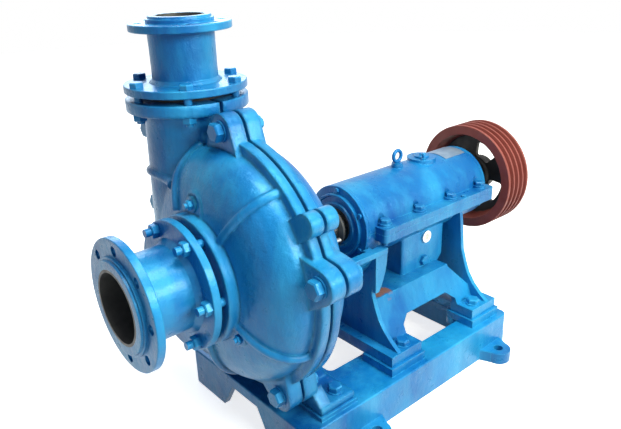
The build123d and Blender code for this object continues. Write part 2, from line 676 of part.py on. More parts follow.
# Stuffing box, seated in the rear wall
box_flange_x = BACK_X + BOX_FLANGE_T
box_neck_r = SLEEVE_R + 3
with BuildPart() as stuffing_box:
    add(turn((BOX_SEAT - 18, box_neck_r), (BOX_SEAT - 18, BOX_R - 2), (BOX_SEAT - 16, BOX_R),
             (BACK_X, BOX_R), (BACK_X, BOX_FLANGE_R), (box_flange_x, BOX_FLANGE_R),
             (box_flange_x, BOX_R + 6), (box_flange_x + 6, BOX_R), (BOX_END - 12, BOX_R),
             (BOX_END - 12, BOX_R + 2), (BOX_END - 1, BOX_R + 2), (BOX_END, BOX_R + 1),
             (BOX_END, PACKING_R), (BOX_SEAT, PACKING_R), (BOX_SEAT, box_neck_r)))
    for side in (-1, 1):
        with BuildSketch(at_x(BOX_END - 16)):
            with Locations((side * GLAND_STUD_Y, 0)):
                Circle(GLAND_STUD_R + 10)
            with Locations((side * (GLAND_STUD_Y - 10), 0)):
                Rectangle(20, 2 * GLAND_STUD_R + 20)
        extrude(amount=16)
    add(ring(BOX_SEAT, BOX_END + 1, 0, PACKING_R), mode=Mode.SUBTRACT)
    with BuildSketch(at_x(BOX_END - 12)):
        with Locations((GLAND_STUD_Y, 0), (-GLAND_STUD_Y, 0)):
            Circle(GLAND_STUD_R + TAP_GAP)
    extrude(amount=20, mode=Mode.SUBTRACT)
    with BuildSketch(at_x(BACK_X - 1)):
        with PolarLocations(BOX_SCREW_PCR, BOX_SCREWS, 180 / BOX_SCREWS):
            Circle(BOX_SCREW_R + BOLT_GAP / 2)
    extrude(amount=BOX_FLANGE_T + 2, mode=Mode.SUBTRACT)
    with BuildSketch(at_z(20)):
        with Locations((BOX_SEAT + (LANTERN_PLACE + 0.5) * RING_W, 0)):
            Circle(5)
    extrude(amount=60, mode=Mode.SUBTRACT)

# Screws that hold the stuffing box flange
box_screw = bolt(BOX_SCREW_R, BOX_FLANGE_T + 12, nut=False)
with BuildPart() as box_screws:
    for i in range(BOX_SCREWS):
        with Locations(at_x(box_flange_x) * Pos(*polar(BOX_SCREW_PCR, (i + 0.5) * 360 / BOX_SCREWS), 0)):
            add(box_screw)

# Packing rings either side of the lantern ring
with BuildPart() as packing:
    for i in range(PACKING_PLACES):
        if i != LANTERN_PLACE:
            add(ring(BOX_SEAT + i * RING_W, BOX_SEAT + (i + 1) * RING_W, SLEEVE_R + RUN_GAP, PACKING_R, 1))

with BuildPart() as lantern_ring:
    lantern_x = BOX_SEAT + LANTERN_PLACE * RING_W
    add(turn((lantern_x, SLEEVE_R + 1), (lantern_x, PACKING_R), (lantern_x + 3, PACKING_R),
             (lantern_x + 3, PACKING_R - 3), (lantern_x + RING_W - 3, PACKING_R - 3),
             (lantern_x + RING_W - 3, PACKING_R), (lantern_x + RING_W, PACKING_R),
             (lantern_x + RING_W, SLEEVE_R + 1)))
    with BuildSketch(at_z(0)):
        with Locations((lantern_x + RING_W / 2, 0)):
            Circle(2)
    extrude(amount=60, both=True, mode=Mode.SUBTRACT)

# Gland follower on its two studs
gland_back = GLAND_X + GLAND_T
with BuildPart() as gland:
    add(ring(BOX_END - GLAND_NOSE, GLAND_X, SLEEVE_R + 1, PACKING_R - RUN_GAP))
    with BuildSketch(at_x(GLAND_X)):
        Circle(GLAND_R)
        for side in (-1, 1):
            with Locations((side * GLAND_STUD_Y, 0)):
                Circle(GLAND_STUD_R + 10)
            with Locations((side * (GLAND_STUD_Y - 12), 0)):
                Rectangle(24, 2 * GLAND_STUD_R + 20)
    extrude(amount=GLAND_T)
    chamfer(gland.faces().sort_by(Axis.X)[-1].edges(), EDGE)
    add(ring(GLAND_X - 1, gland_back + 1, 0, SLEEVE_R + 1), mode=Mode.SUBTRACT)
    with BuildSketch(at_x(GLAND_X - 1)):
        with Locations((GLAND_STUD_Y, 0), (-GLAND_STUD_Y, 0)):
            Circle(GLAND_STUD_R + RUN_GAP)
    extrude(amount=GLAND_T + 2, mode=Mode.SUBTRACT)

with BuildPart() as gland_studs:
    with BuildSketch(at_x(BOX_END - 12)):
        with Locations((GLAND_STUD_Y, 0), (-GLAND_STUD_Y, 0)):
            Circle(GLAND_STUD_R)
    extrude(amount=12 + gland_back - BOX_END + GLAND_NUT_H + GLAND_TRAVEL + 8)

gland_nut = hexagon(3.1 * GLAND_STUD_R, GLAND_NUT_H, EDGE)
with BuildPart() as gland_nuts:
    for side in (-1, 1):
        with Locations(at_x(gland_back) * Pos(side * GLAND_STUD_Y, 0, 0)):
            add(gland_nut)
    with BuildSketch(at_x(gland_back)):
        with Locations((GLAND_STUD_Y, 0), (-GLAND_STUD_Y, 0)):
            Circle(GLAND_STUD_R + RUN_GAP)
    extrude(amount=GLAND_NUT_H + 2, mode=Mode.SUBTRACT)

# Impeller: two shrouds, curved vanes whose tips trail, and a hub
shroud_front = IMPELLER_FRONT + SHROUD_T
shroud_back = HUB_BACK - SHROUD_T
with BuildSketch() as vane:
    with BuildLine():
        ThreePointArc((50, 0), (112, -26), (IMPELLER_R - 3, -84))
        Line((IMPELLER_R - 3, -84), (IMPELLER_R - 24, -90))
        ThreePointArc((IMPELLER_R - 24, -90), (103, -38), (44, -14))
        Line((44, -14), (50, 0))
    make_face()
with BuildPart() as impeller:
    add(turn((SHAFT_START - 22, 0), (SHAFT_START - 20, 18), (SHAFT_START, HUB_R - 10),
             (shroud_back - 14, HUB_R), (shroud_back, HUB_R + 16), (shroud_back, IMPELLER_R),
             (HUB_BACK, IMPELLER_R), (HUB_BACK, 0)))
    add(ring(IMPELLER_FRONT, shroud_front, THROAT_R - 3, IMPELLER_R))
    with BuildSketch(at_x(shroud_front)):
        with PolarLocations(0, VANES):
            add(vane.sketch)
    extrude(amount=shroud_back - shroud_front)
    add(ring(IMPELLER_FRONT - 1, HUB_BACK + 1, IMPELLER_R, IMPELLER_R + 60), mode=Mode.SUBTRACT)
    add(ring(SHAFT_START, HUB_BACK + 1, 0, SHAFT_R - 3), mode=Mode.SUBTRACT)

# Shaft with its keyway
keyway_x = SHEAVE_X + 45
bearing0_end = BEARING_X0 + BEARING_W
bearing1_end = BEARING_X1 + BEARING_W
with BuildPart() as shaft:
    add(turn((SHAFT_START, 0), (SHAFT_START, SHAFT_R - 3), (HUB_BACK, SHAFT_R - 3), (HUB_BACK, SHAFT_R),
             (SLEEVE_END, SHAFT_R), (SLEEVE_END, SEAL_SEAT_R), (HOUSING_X0 + 20, SEAL_SEAT_R),
             (HOUSING_X0 + 20, JOURNAL_R), (bearing0_end, JOURNAL_R), (bearing0_end, SHAFT_BODY_R),
             (BEARING_X1, SHAFT_BODY_R), (BEARING_X1, JOURNAL_R), (bearing1_end + 2, JOURNAL_R),
             (bearing1_end + 2, SEAL_SEAT_R), (HOUSING_X1 + 20, SEAL_SEAT_R),
             (HOUSING_X1 + 24, SHAFT_END_R), (SHAFT_END - 2, SHAFT_END_R), (SHAFT_END, SHAFT_END_R - 2),
             (SHAFT_END, 0)))
    with BuildSketch(at_z(SHAFT_END_R - KEY_H / 2)):
        with Locations((keyway_x, 0)):
            Rectangle(KEY_L, KEY_W)
    extrude(amount=20, mode=Mode.SUBTRACT)

# Wearing sleeve on the shaft and the rubber flinger behind the gland
with BuildPart() as shaft_sleeve:
    add(ring(HUB_BACK, SLEEVE_END, SHAFT_R, SLEEVE_R))
flinger_x = SLEEVE_END + 26
with BuildPart() as flinger:
    add(turn((flinger_x, SEAL_SEAT_R), (flinger_x, FLINGER_R - 10), (flinger_x + 4, FLINGER_R),
             (flinger_x + 10, FLINGER_R), (flinger_x + 10, SEAL_SEAT_R)))


# Rolling bearings: outer ring, inner ring and the rollers held by a ring on each side
def roller_set(x):
    with BuildPart() as body:
        with BuildSketch(at_x(x + 5)):
            with PolarLocations(CAGE_R, ROLLERS):
                Circle(ROLLER_R)
        extrude(amount=BEARING_W - 10)
        add(ring(x + 2, x + 5, CAGE_R - 4, CAGE_R + 4))
        add(ring(x + BEARING_W - 5, x + BEARING_W - 2, CAGE_R - 4, CAGE_R + 4))
    return body.part


with BuildPart() as front_outer_ring:
    add(ring(BEARING_X0, bearing0_end, BEARING_R - RACE_T, BEARING_R, 1))
with BuildPart() as front_inner_ring:
    add(ring(BEARING_X0, bearing0_end, JOURNAL_R, JOURNAL_R + RACE_T))
with BuildPart() as front_rollers:
    add(roller_set(BEARING_X0))
with BuildPart() as rear_outer_ring:
    add(ring(BEARING_X1, bearing1_end, BEARING_R - RACE_T, BEARING_R, 1))
with BuildPart() as rear_inner_ring:
    add(ring(BEARING_X1, bearing1_end, JOURNAL_R, JOURNAL_R + RACE_T))
with BuildPart() as rear_rollers:
    add(roller_set(BEARING_X1))


CAP_BOLT_PLACES = [(x, side * CAP_BOLT_Y) for side in (-1, 1) for x in CAP_BOLT_X]
JACK_PLACES = [(JACK_X, -JACK_Y), (JACK_X, JACK_Y)]


def housing(side):
    # Half of the bearing housing tube with its side flanges, side is -1 below the split and 1 above
    flange_t = CAP_FLANGE_T if side > 0 else LOWER_FLANGE_T
    seat_z = CAP_FLANGE_T + CAP_PAD_H if side > 0 else LOWER_FLANGE_T
    with BuildPart() as body:
        add(ring(HOUSING_X0, HOUSING_X1, 0, HOUSING_R, 1))
        with BuildSketch(at_z(0)):
            with Locations(((FLANGE_X0 + HOUSING_X1) / 2, 0)):
                RectangleRounded(HOUSING_X1 - FLANGE_X0, 2 * FLANGE_Y, 10)
        extrude(amount=side * flange_t)
        if side > 0:
            with BuildSketch(at_z(0)):
                with Locations(CAP_BOLT_PLACES):
                    Circle(CAP_PAD_R)
            extrude(amount=seat_z)
        with Locations((PART_X + (HOUSING_X0 + HOUSING_X1) / 2, 0, SHAFT_Z + side * REACH / 2)):
            Box(HOUSING_X1 - HOUSING_X0 + 40, REACH, REACH, mode=Mode.INTERSECT)
        add(ring(HOUSING_X0 - 1, HOUSING_X1 + 1, 0, BEARING_R), mode=Mode.SUBTRACT)
        add(ring(bearing0_end, BEARING_X1, 0, OIL_R), mode=Mode.SUBTRACT)
        with BuildSketch(at_z(side * seat_z)):
            with Locations(CAP_BOLT_PLACES):
                Circle(CAP_PAD_R - EDGE)
        extrude(amount=side * 30, mode=Mode.SUBTRACT)
        with BuildSketch(at_z(-LOWER_FLANGE_T - 1)):
            with Locations(CAP_BOLT_PLACES):
                Circle(CAP_BOLT_R + BOLT_GAP)
        extrude(amount=seat_z + LOWER_FLANGE_T + 2, mode=Mode.SUBTRACT)
        with BuildSketch(at_z(-JACK_DEPTH)):
            with Locations(JACK_PLACES):
                Circle(JACK_R + TAP_GAP)
        extrude(amount=JACK_DEPTH + CAP_FLANGE_T + 1, mode=Mode.SUBTRACT)
    return body.part


def cover_screw_holes(angles):
    # Tapped holes for the end cover screws at both ends of the housing
    with BuildPart() as body:
        for side_x, inward in ((HOUSING_X0, 1), (HOUSING_X1, -1)):
            with BuildSketch(at_x(side_x)):
                for angle in angles:
                    with Locations(polar(COVER_BOLT_R, angle)):
                        Circle(COVER_SCREW_R + TAP_GAP)
            extrude(amount=18 * inward)
    return body.part


# Bearing cap with its eye bolt boss and its inspection boss, which carries the breather too
with BuildPart() as bearing_cap:
    add(housing(1))
    with BuildSketch(at_z(HOUSING_R - 17)):
        with Locations((INSPECTION_X, 0)):
            Circle(INSPECTION_BOSS_R)
        with Locations((EYE_X, 0)):
            Circle(2 * EYE_SHANK_R)
    extrude(amount=BOSS_TOP - HOUSING_R + 17)
    with BuildSketch(at_z(OIL_R - 22)):
        with Locations((INSPECTION_X, 0)):
            Circle(INSPECTION_BORE)
        with Locations((EYE_X, 0)):
            Circle(EYE_SHANK_R + TAP_GAP)
        with Locations((BREATHER_X, BREATHER_Y)):
            Circle(BREATHER_R + TAP_GAP)
    extrude(amount=60, mode=Mode.SUBTRACT)
    add(cover_screw_holes((30, 90, 150)), mode=Mode.SUBTRACT)

# Cover of the inspection hole
with BuildPart() as inspection_cover:
    hole_axis = Axis((PART_X + INSPECTION_X, 0, SHAFT_Z), (0, 0, 1))
    hole_side = Plane(origin=(PART_X + INSPECTION_X, 0, SHAFT_Z), x_dir=(1, 0, 0), z_dir=(0, -1, 0))
    add(turn((0, BOSS_TOP - 12), (INSPECTION_BORE, BOSS_TOP - 12), (INSPECTION_BORE, BOSS_TOP),
             (INSPECTION_R, BOSS_TOP), (INSPECTION_R, BOSS_TOP + 3), (INSPECTION_R - 2, BOSS_TOP + 5),
             (7, BOSS_TOP + 5), (6, BOSS_TOP + 10), (0, BOSS_TOP + 10), axis=hole_axis, plane=hole_side))

# Lifting eye screwed into the cap
eye_z = BOSS_TOP + EYE_R + EYE_WIRE_R + 3.5
with BuildPart() as eye_bolt:
    with BuildSketch(at_z(BOSS_TOP - 24)):
        with Locations((EYE_X, 0)):
            Circle(EYE_SHANK_R)
    extrude(amount=24)
    with BuildSketch(at_z(BOSS_TOP)):
        with Locations((EYE_X, 0)):
            Circle(EYE_R + 0.5)
    extrude(amount=5)
    with BuildSketch(at_z(eye_z)):
        with Locations((EYE_X + EYE_R, 0)):
            Circle(EYE_WIRE_R)
    revolve(axis=Axis((PART_X + EYE_X, 0, SHAFT_Z + eye_z), (0, 1, 0)))

# Breather plug on the near side of the inspection boss
with BuildPart() as breather:
    with BuildSketch(at_z(BOSS_TOP - 16)):
        with Locations((BREATHER_X, BREATHER_Y)):
            Circle(BREATHER_R)
    extrude(amount=34)
    with Locations(at_z(BOSS_TOP) * Pos(BREATHER_X, BREATHER_Y, 0)):
        add(hexagon(3 * BREATHER_R, 5, 1))
    with BuildSketch(at_z(BOSS_TOP + 12)):
        with Locations((BREATHER_X, BREATHER_Y)):
            Circle(BREATHER_R + 2.5)
    extrude(amount=7)
    chamfer(breather.faces().sort_by(Axis.Z)[-1].edges(), 2)

# Blank nameplate, bent round the cap
with BuildPart() as nameplate:
    add(ring(PLATE_X - PLATE_L / 2, PLATE_X + PLATE_L / 2, HOUSING_R + SEAT_GAP, HOUSING_R + PLATE_T))
    with Locations((PART_X + PLATE_X, 0, SHAFT_Z + HOUSING_R)):
        Box(PLATE_L, PLATE_W, HOUSING_R, mode=Mode.INTERSECT)

# Bolts through the split flange of the bearing housing, and a jack screw on each side
cap_bolt = bolt(CAP_BOLT_R, CAP_FLANGE_T + CAP_PAD_H + LOWER_FLANGE_T, tail=5)
jack_screw = bolt(JACK_R, CAP_FLANGE_T + JACK_DEPTH - 1, nut=False)
with BuildPart() as cap_bolts:
    for x, y in CAP_BOLT_PLACES:
        with Locations(at_z(CAP_FLANGE_T + CAP_PAD_H) * Pos(x, y, 0)):
            add(cap_bolt)
    for x, y in JACK_PLACES:
        with Locations(at_z(CAP_FLANGE_T) * Pos(x, y, 0)):
            add(jack_screw)


def end_cover(x, inward):
    # Bearing end cover, x is the housing's end and inward is the direction into the housing
    flange = x - inward * COVER_T
    disc = flange - inward * COVER_DISC_T
    seal_r = SEAL_SEAT_R + SEAL_T
    with BuildPart() as body:
        add(turn((x, seal_r), (disc + inward * 6, seal_r), (disc + inward * 6, seal_r + 8),
                 (disc, seal_r + 10), (disc, seal_r + 16), (disc + inward * 4, seal_r + 18),
                 (disc + inward * 4, COVER_DISC_R - 8), (disc, COVER_DISC_R - 6),
                 (disc, COVER_DISC_R - EDGE), (disc + inward * EDGE, COVER_DISC_R), (flange, COVER_DISC_R),
                 (flange, HOUSING_R - EDGE), (flange + inward * EDGE, HOUSING_R), (x, HOUSING_R),
                 (x, BEARING_R), (x + inward * BEARING_INSET, BEARING_R),
                 (x + inward * BEARING_INSET, BEARING_R - 9), (x + inward * 4, BEARING_R - 9),
                 (x + inward * 4, seal_r)))
        with BuildSketch(at_x(x - 20)):
            with PolarLocations(COVER_BOLT_R, COVER_SCREWS, 180 / COVER_SCREWS):
                Circle(COVER_SCREW_R + BOLT_GAP)
        extrude(amount=40, mode=Mode.SUBTRACT)
    return body.part


with BuildPart() as front_cover:
    add(end_cover(HOUSING_X0, 1))
with BuildPart() as rear_cover:
    add(end_cover(HOUSING_X1, -1))
with BuildPart() as front_seal:
    add(ring(HOUSING_X0 - 6, HOUSING_X0 + 4, SEAL_SEAT_R + RUN_GAP, SEAL_SEAT_R + SEAL_T))
with BuildPart() as rear_seal:
    add(ring(HOUSING_X1 - 4, HOUSING_X1 + 6, SEAL_SEAT_R + RUN_GAP, SEAL_SEAT_R + SEAL_T))

cover_screw = bolt(COVER_SCREW_R, COVER_T + 12, nut=False)
with BuildPart() as cover_screws:
    for i in range(COVER_SCREWS):
        screw_place = Pos(*polar(COVER_BOLT_R, (i + 0.5) * 360 / COVER_SCREWS), 0)
        with Locations(at_x(HOUSING_X1 + COVER_T) * screw_place,
                       at_x(HOUSING_X0 - COVER_T) * screw_place * Rot(0, 180, 0)):
            add(cover_screw)


# Pedestal: lower housing, webs, sump column, flared skirt, feet and the open yoke to the casing
WEB_PROFILE = ((104, -20), (112, -80), (119, -150), (131, -187), (144, -218), (163, -244), (187, -266),
               (212, -284))
FRONT_WEB_PROFILE = ((133, -36), (128, -90)) + WEB_PROFILE[2:]
SKIRT_PROFILE = ((117, LEDGE_Z), (127, -203), (139, -230), (151, -256), (163, FOOT_Z + FOOT_T))
SKIRT_DROP = ((COLUMN_X1 - 30, LEDGE_Z + 1), (COLUMN_X1 - 30, LEDGE_Z - 6), (WEB_X1, -250),
              (WEB_X1, LEDGE_Z + 1))
FOOT_BARS = ((267, 378, 267, 304), (592, 698, 658, 698))


def mirrored(points, low):
    # Closed outline across the pedestal from the near and far copies of a profile
    right = [(y, z) for y, z in points] + [(points[-1][0], low)]
    return right + [(-y, z) for y, z in reversed(right)]


def skirt():
    # Flared skirt under the column, hollow below and falling away towards the rear web
    inner = [(y - WEB_T, z - WEB_T) for y, z in SKIRT_PROFILE]
    with BuildPart() as body:
        with BuildSketch(at_x(WEB_X0)):
            with BuildLine():
                Polyline(*mirrored(SKIRT_PROFILE, FOOT_Z), close=True)
            make_face()
        extrude(amount=WEB_X1 - WEB_X0)
        with BuildSketch(at_x(WEB_X0 + WEB_T)):
            with BuildLine():
                Polyline(*mirrored(inner, FOOT_Z - 1), close=True)
            make_face()
        extrude(amount=WEB_X1 - WEB_X0, mode=Mode.SUBTRACT)
        with BuildSketch(at_y(FOOT_Y)):
            with BuildLine():
                Polyline(*SKIRT_DROP, close=True)
            make_face()
        extrude(amount=2 * FOOT_Y, mode=Mode.SUBTRACT)
    return body.part


def column():
    # Sump column under the housing, its lower rear corner cut off
    column_x = (COLUMN_X0 + COLUMN_X1) / 2
    with BuildPart() as body:
        with BuildSketch(at_z(LEDGE_Z - WEB_T)):
            with Locations((column_x, 0)):
                RectangleRounded(COLUMN_X1 - COLUMN_X0, 2 * COLUMN_Y, 8)
        extrude(amount=WEB_T - LEDGE_Z - 40)
        with BuildSketch(at_y(COLUMN_Y)):
            with BuildLine():
                Polyline((COLUMN_X1, LEDGE_Z + 19), (COLUMN_X1, LEDGE_Z - WEB_T),
                         (COLUMN_X1 - 31, LEDGE_Z - WEB_T), close=True)
            make_face()
        extrude(amount=2 * COLUMN_Y, mode=Mode.SUBTRACT)
    return body.part


def column_hollow():
    with BuildPart() as body:
        with BuildSketch(at_z(LEDGE_Z + 24)):
            with Locations(((COLUMN_X0 + COLUMN_X1) / 2, 0)):
                RectangleRounded(COLUMN_X1 - COLUMN_X0 - 2 * WEB_T, 2 * (COLUMN_Y - WEB_T), 4)
        extrude(amount=90)
    return body.part


def feet():
    # Two feet on each side at each end, joined by a bar across the pedestal
    with BuildPart() as body:
        for foot_x0, foot_x1, bar_x0, bar_x1 in FOOT_BARS:
            with BuildSketch(at_z(FOOT_Z)):
                for side in (-1, 1):
                    with Locations(((foot_x0 + foot_x1) / 2, side * (FOOT_Y + 140) / 2)):
                        Rectangle(foot_x1 - foot_x0, FOOT_Y - 140)
                with Locations(((bar_x0 + bar_x1) / 2, 0)):
                    Rectangle(bar_x1 - bar_x0, 2 * FOOT_Y)
            extrude(amount=FOOT_T)
    return body.part


def yoke():
    # Open trough between the casing and the pedestal with its rims and curved side brackets
    with BuildPart() as body:
        add(ring(BACK_X + 16, WEB_X0, YOKE_R - YOKE_T, YOKE_R))
        add(ring(BACK_X + 16, BACK_X + 16 + YOKE_FLANGE_T, YOKE_R - 40, YOKE_R + 6))
        add(ring(WEB_X0 - 16, WEB_X0, YOKE_R - 24, YOKE_R))
        with Locations((PART_X + REACH / 2, 0, SHAFT_Z + YOKE_RIM_Z - REACH / 4)):
            Box(REACH, REACH, REACH / 2, mode=Mode.INTERSECT)
        for side in (-1, 1):
            with BuildSketch(at_z(YOKE_RIM_Z)):
                with Locations(((BACK_X + 16 + FLANGE_X0 + 8) / 2, side * (YOKE_R - 7))):
                    Rectangle(FLANGE_X0 - BACK_X - 8, 22)
            extrude(amount=-YOKE_FLANGE_T)
            with BuildSketch(at_y(side * (YOKE_R - 6) + 6)):
                with BuildLine():
                    Line((WEB_X0, YOKE_RIM_Z - 4), (YOKE_END_X, YOKE_RIM_Z - 4))
                    ThreePointArc((YOKE_END_X, YOKE_RIM_Z - 4),
                                  (YOKE_END_X - 8, (YOKE_RIM_Z + YOKE_END_Z) / 2 - 14),
                                  (WEB_X0 + WEB_T, YOKE_END_Z))
                    Line((WEB_X0 + WEB_T, YOKE_END_Z), (WEB_X0, YOKE_END_Z))
                    Line((WEB_X0, YOKE_END_Z), (WEB_X0, YOKE_RIM_Z - 4))
                make_face()
            extrude(amount=YOKE_T)
    return body.part


with BuildPart() as pedestal:
    add(housing(-1))
    for web_x, web_profile in ((WEB_X0, FRONT_WEB_PROFILE), (WEB_X1, WEB_PROFILE)):
        with BuildSketch(at_x(web_x)):
            with BuildLine():
                Polyline(*mirrored(web_profile, FOOT_Z), close=True)
            make_face()
        extrude(amount=WEB_T)
    add(skirt())
    add(column())
    add(column_hollow(), mode=Mode.SUBTRACT)
    with BuildSketch(at_y(FOOT_Y + 1)):
        with BuildLine():
            Polyline((378, FOOT_Z - 5), (378, -262), (400, -242), (560, -242), (592, -268),
                     (592, FOOT_Z - 5), close=True)
        make_face()
    extrude(amount=2 * FOOT_Y + 2, mode=Mode.SUBTRACT)
    add(feet())
    add(yoke())
    add(ring(HOUSING_X0 - 40, HOUSING_X0, 0, HOUSING_R + 3), mode=Mode.SUBTRACT)
    add(ring(HOUSING_X0 - 1, HOUSING_X1 + 1, 0, BEARING_R), mode=Mode.SUBTRACT)
    add(ring(bearing0_end, BEARING_X1, 0, OIL_R), mode=Mode.SUBTRACT)
    with BuildSketch(at_z(FOOT_Z - 1)):
        for bolt_x in FOOT_BOLT_X:
            with Locations((bolt_x, FOOT_BOLT_Y), (bolt_x, -FOOT_BOLT_Y)):
                Circle(FOOT_BOLT_R + BOLT_GAP)
    extrude(amount=FOOT_T + 2, mode=Mode.SUBTRACT)
    with BuildSketch(at_x(BACK_X + 15)):
        for yoke_angle in YOKE_ANGLES:
            with Locations(polar(YOKE_BOLT_R, yoke_angle)):
                Circle(YOKE_SCREW_R + BOLT_GAP)
    extrude(amount=YOKE_FLANGE_T + 2, mode=Mode.SUBTRACT)
    add(cover_screw_holes((210, 270, 330)), mode=Mode.SUBTRACT)
    with BuildSketch(at_y(-COLUMN_Y - 1)):
        with Locations((GAUGE_X, GAUGE_Z)):
            Circle(GAUGE_R + TAP_GAP)
        with Locations((DRAIN_X, DRAIN_Z)):
            Circle(DRAIN_R + TAP_GAP)
    extrude(amount=-WEB_T - 1, mode=Mode.SUBTRACT)

# Screws that hold the yoke to the rear casing
yoke_screw = bolt(YOKE_SCREW_R, YOKE_FLANGE_T + 18, washer=2.5, nut=False)
with BuildPart() as yoke_screws:
    for yoke_angle in YOKE_ANGLES:
        with Locations(at_x(BACK_X + 16 + YOKE_FLANGE_T) * Pos(*polar(YOKE_BOLT_R, yoke_angle), 0)):
            add(yoke_screw)

# Oil level glass in its ring, and the drain plug, on the near side of the sump column
with BuildPart() as sight_glass:
    with BuildSketch(at_y(-COLUMN_Y)):
        with Locations((GAUGE_X, GAUGE_Z)):
            Circle(GAUGE_R + 5)
            Circle(LENS_R, mode=Mode.SUBTRACT)
    extrude(amount=7)
    with BuildSketch(at_y(-COLUMN_Y)):
        with Locations((GAUGE_X, GAUGE_Z)):
            Circle(GAUGE_R)
            Circle(LENS_R, mode=Mode.SUBTRACT)
    extrude(amount=-WEB_T)
with BuildPart() as sight_lens:
    with BuildSketch(at_y(-COLUMN_Y - 1)):
        with Locations((GAUGE_X, GAUGE_Z)):
            Circle(LENS_R)
    extrude(amount=5)
with BuildPart() as drain_plug:
    with Locations(at_y(-COLUMN_Y) * Pos(DRAIN_X, DRAIN_Z, 0)):
        add(bolt(DRAIN_R, WEB_T, nut=False))

# Sheave with its belt grooves, windowed web, hub and keyway
sheave_mid = SHEAVE_X + SHEAVE_W / 2
sheave_end = SHEAVE_X + SHEAVE_W
groove_top = 8.5
groove_low = 3.5
rim_in = SHEAVE_R - 27
web_x0 = sheave_mid - 3
web_x1 = web_x0 + 12
web_out = rim_in - 12
hub_x0 = SHEAVE_X + 9
sheave_outline = [(SHEAVE_X, rim_in), (SHEAVE_X, SHEAVE_R - EDGE), (SHEAVE_X + EDGE, SHEAVE_R)]
for i in range(GROOVES):
    groove_x = sheave_mid + (i - (GROOVES - 1) / 2) * GROOVE_PITCH
    sheave_outline += [(groove_x - groove_top, SHEAVE_R), (groove_x - groove_low, SHEAVE_R - GROOVE_DEPTH),
                       (groove_x + groove_low, SHEAVE_R - GROOVE_DEPTH), (groove_x + groove_top, SHEAVE_R)]
sheave_outline += [(sheave_end - EDGE, SHEAVE_R), (sheave_end, SHEAVE_R - EDGE), (sheave_end, rim_in),
                   (web_x1 + 10, rim_in - 6), (web_x1, web_out), (web_x1, SHEAVE_HUB_R + 6),
                   (web_x1 + 6, SHEAVE_HUB_R), (SHEAVE_HUB_END, SHEAVE_HUB_R),
                   (SHEAVE_HUB_END, SHAFT_END_R), (hub_x0, SHAFT_END_R), (hub_x0, SHEAVE_HUB_R),
                   (web_x0 - 6, SHEAVE_HUB_R), (web_x0, SHEAVE_HUB_R + 6), (web_x0, web_out),
                   (web_x0 - 10, rim_in - 6)]
with BuildSketch() as window:
    with BuildLine():
        outer = CenterArc((0, 0), SHEAVE_WINDOW_R1, -SHEAVE_WINDOW_HALF, 2 * SHEAVE_WINDOW_HALF)
        inner = CenterArc((0, 0), SHEAVE_WINDOW_R0, -SHEAVE_WINDOW_HALF, 2 * SHEAVE_WINDOW_HALF)
        Line(outer @ 0, inner @ 0)
        Line(outer @ 1, inner @ 1)
    make_face()
    fillet(window.vertices(), 9)
with BuildPart() as sheave:
    add(turn(*sheave_outline))
    with BuildSketch(at_x(web_x0 - 6)):
        with PolarLocations(0, SHEAVE_WINDOWS, SHEAVE_WINDOW_TURN):
            add(window.sketch)
    extrude(amount=24, mode=Mode.SUBTRACT)
    with BuildSketch(at_x(hub_x0 - 1)):
        with Locations((0, SHAFT_END_R)):
            Rectangle(KEY_W, KEY_H + 0.4)
    extrude(amount=SHEAVE_HUB_END - hub_x0 + 2, mode=Mode.SUBTRACT)
with BuildPart() as sheave_key:
    with BuildSketch(at_z(SHAFT_END_R - KEY_H / 2)):
        with Locations((keyway_x, 0)):
            Rectangle(KEY_L, KEY_W)
    extrude(amount=KEY_H)
with BuildPart() as sheave_nut:
    with Locations(at_x(SHEAVE_HUB_END)):
        add(hexagon(2.6 * SHAFT_END_R, 13, 3))
    add(ring(SHEAVE_HUB_END - 1, SHEAVE_HUB_END + 14, 0, SHAFT_END_R), mode=Mode.SUBTRACT)

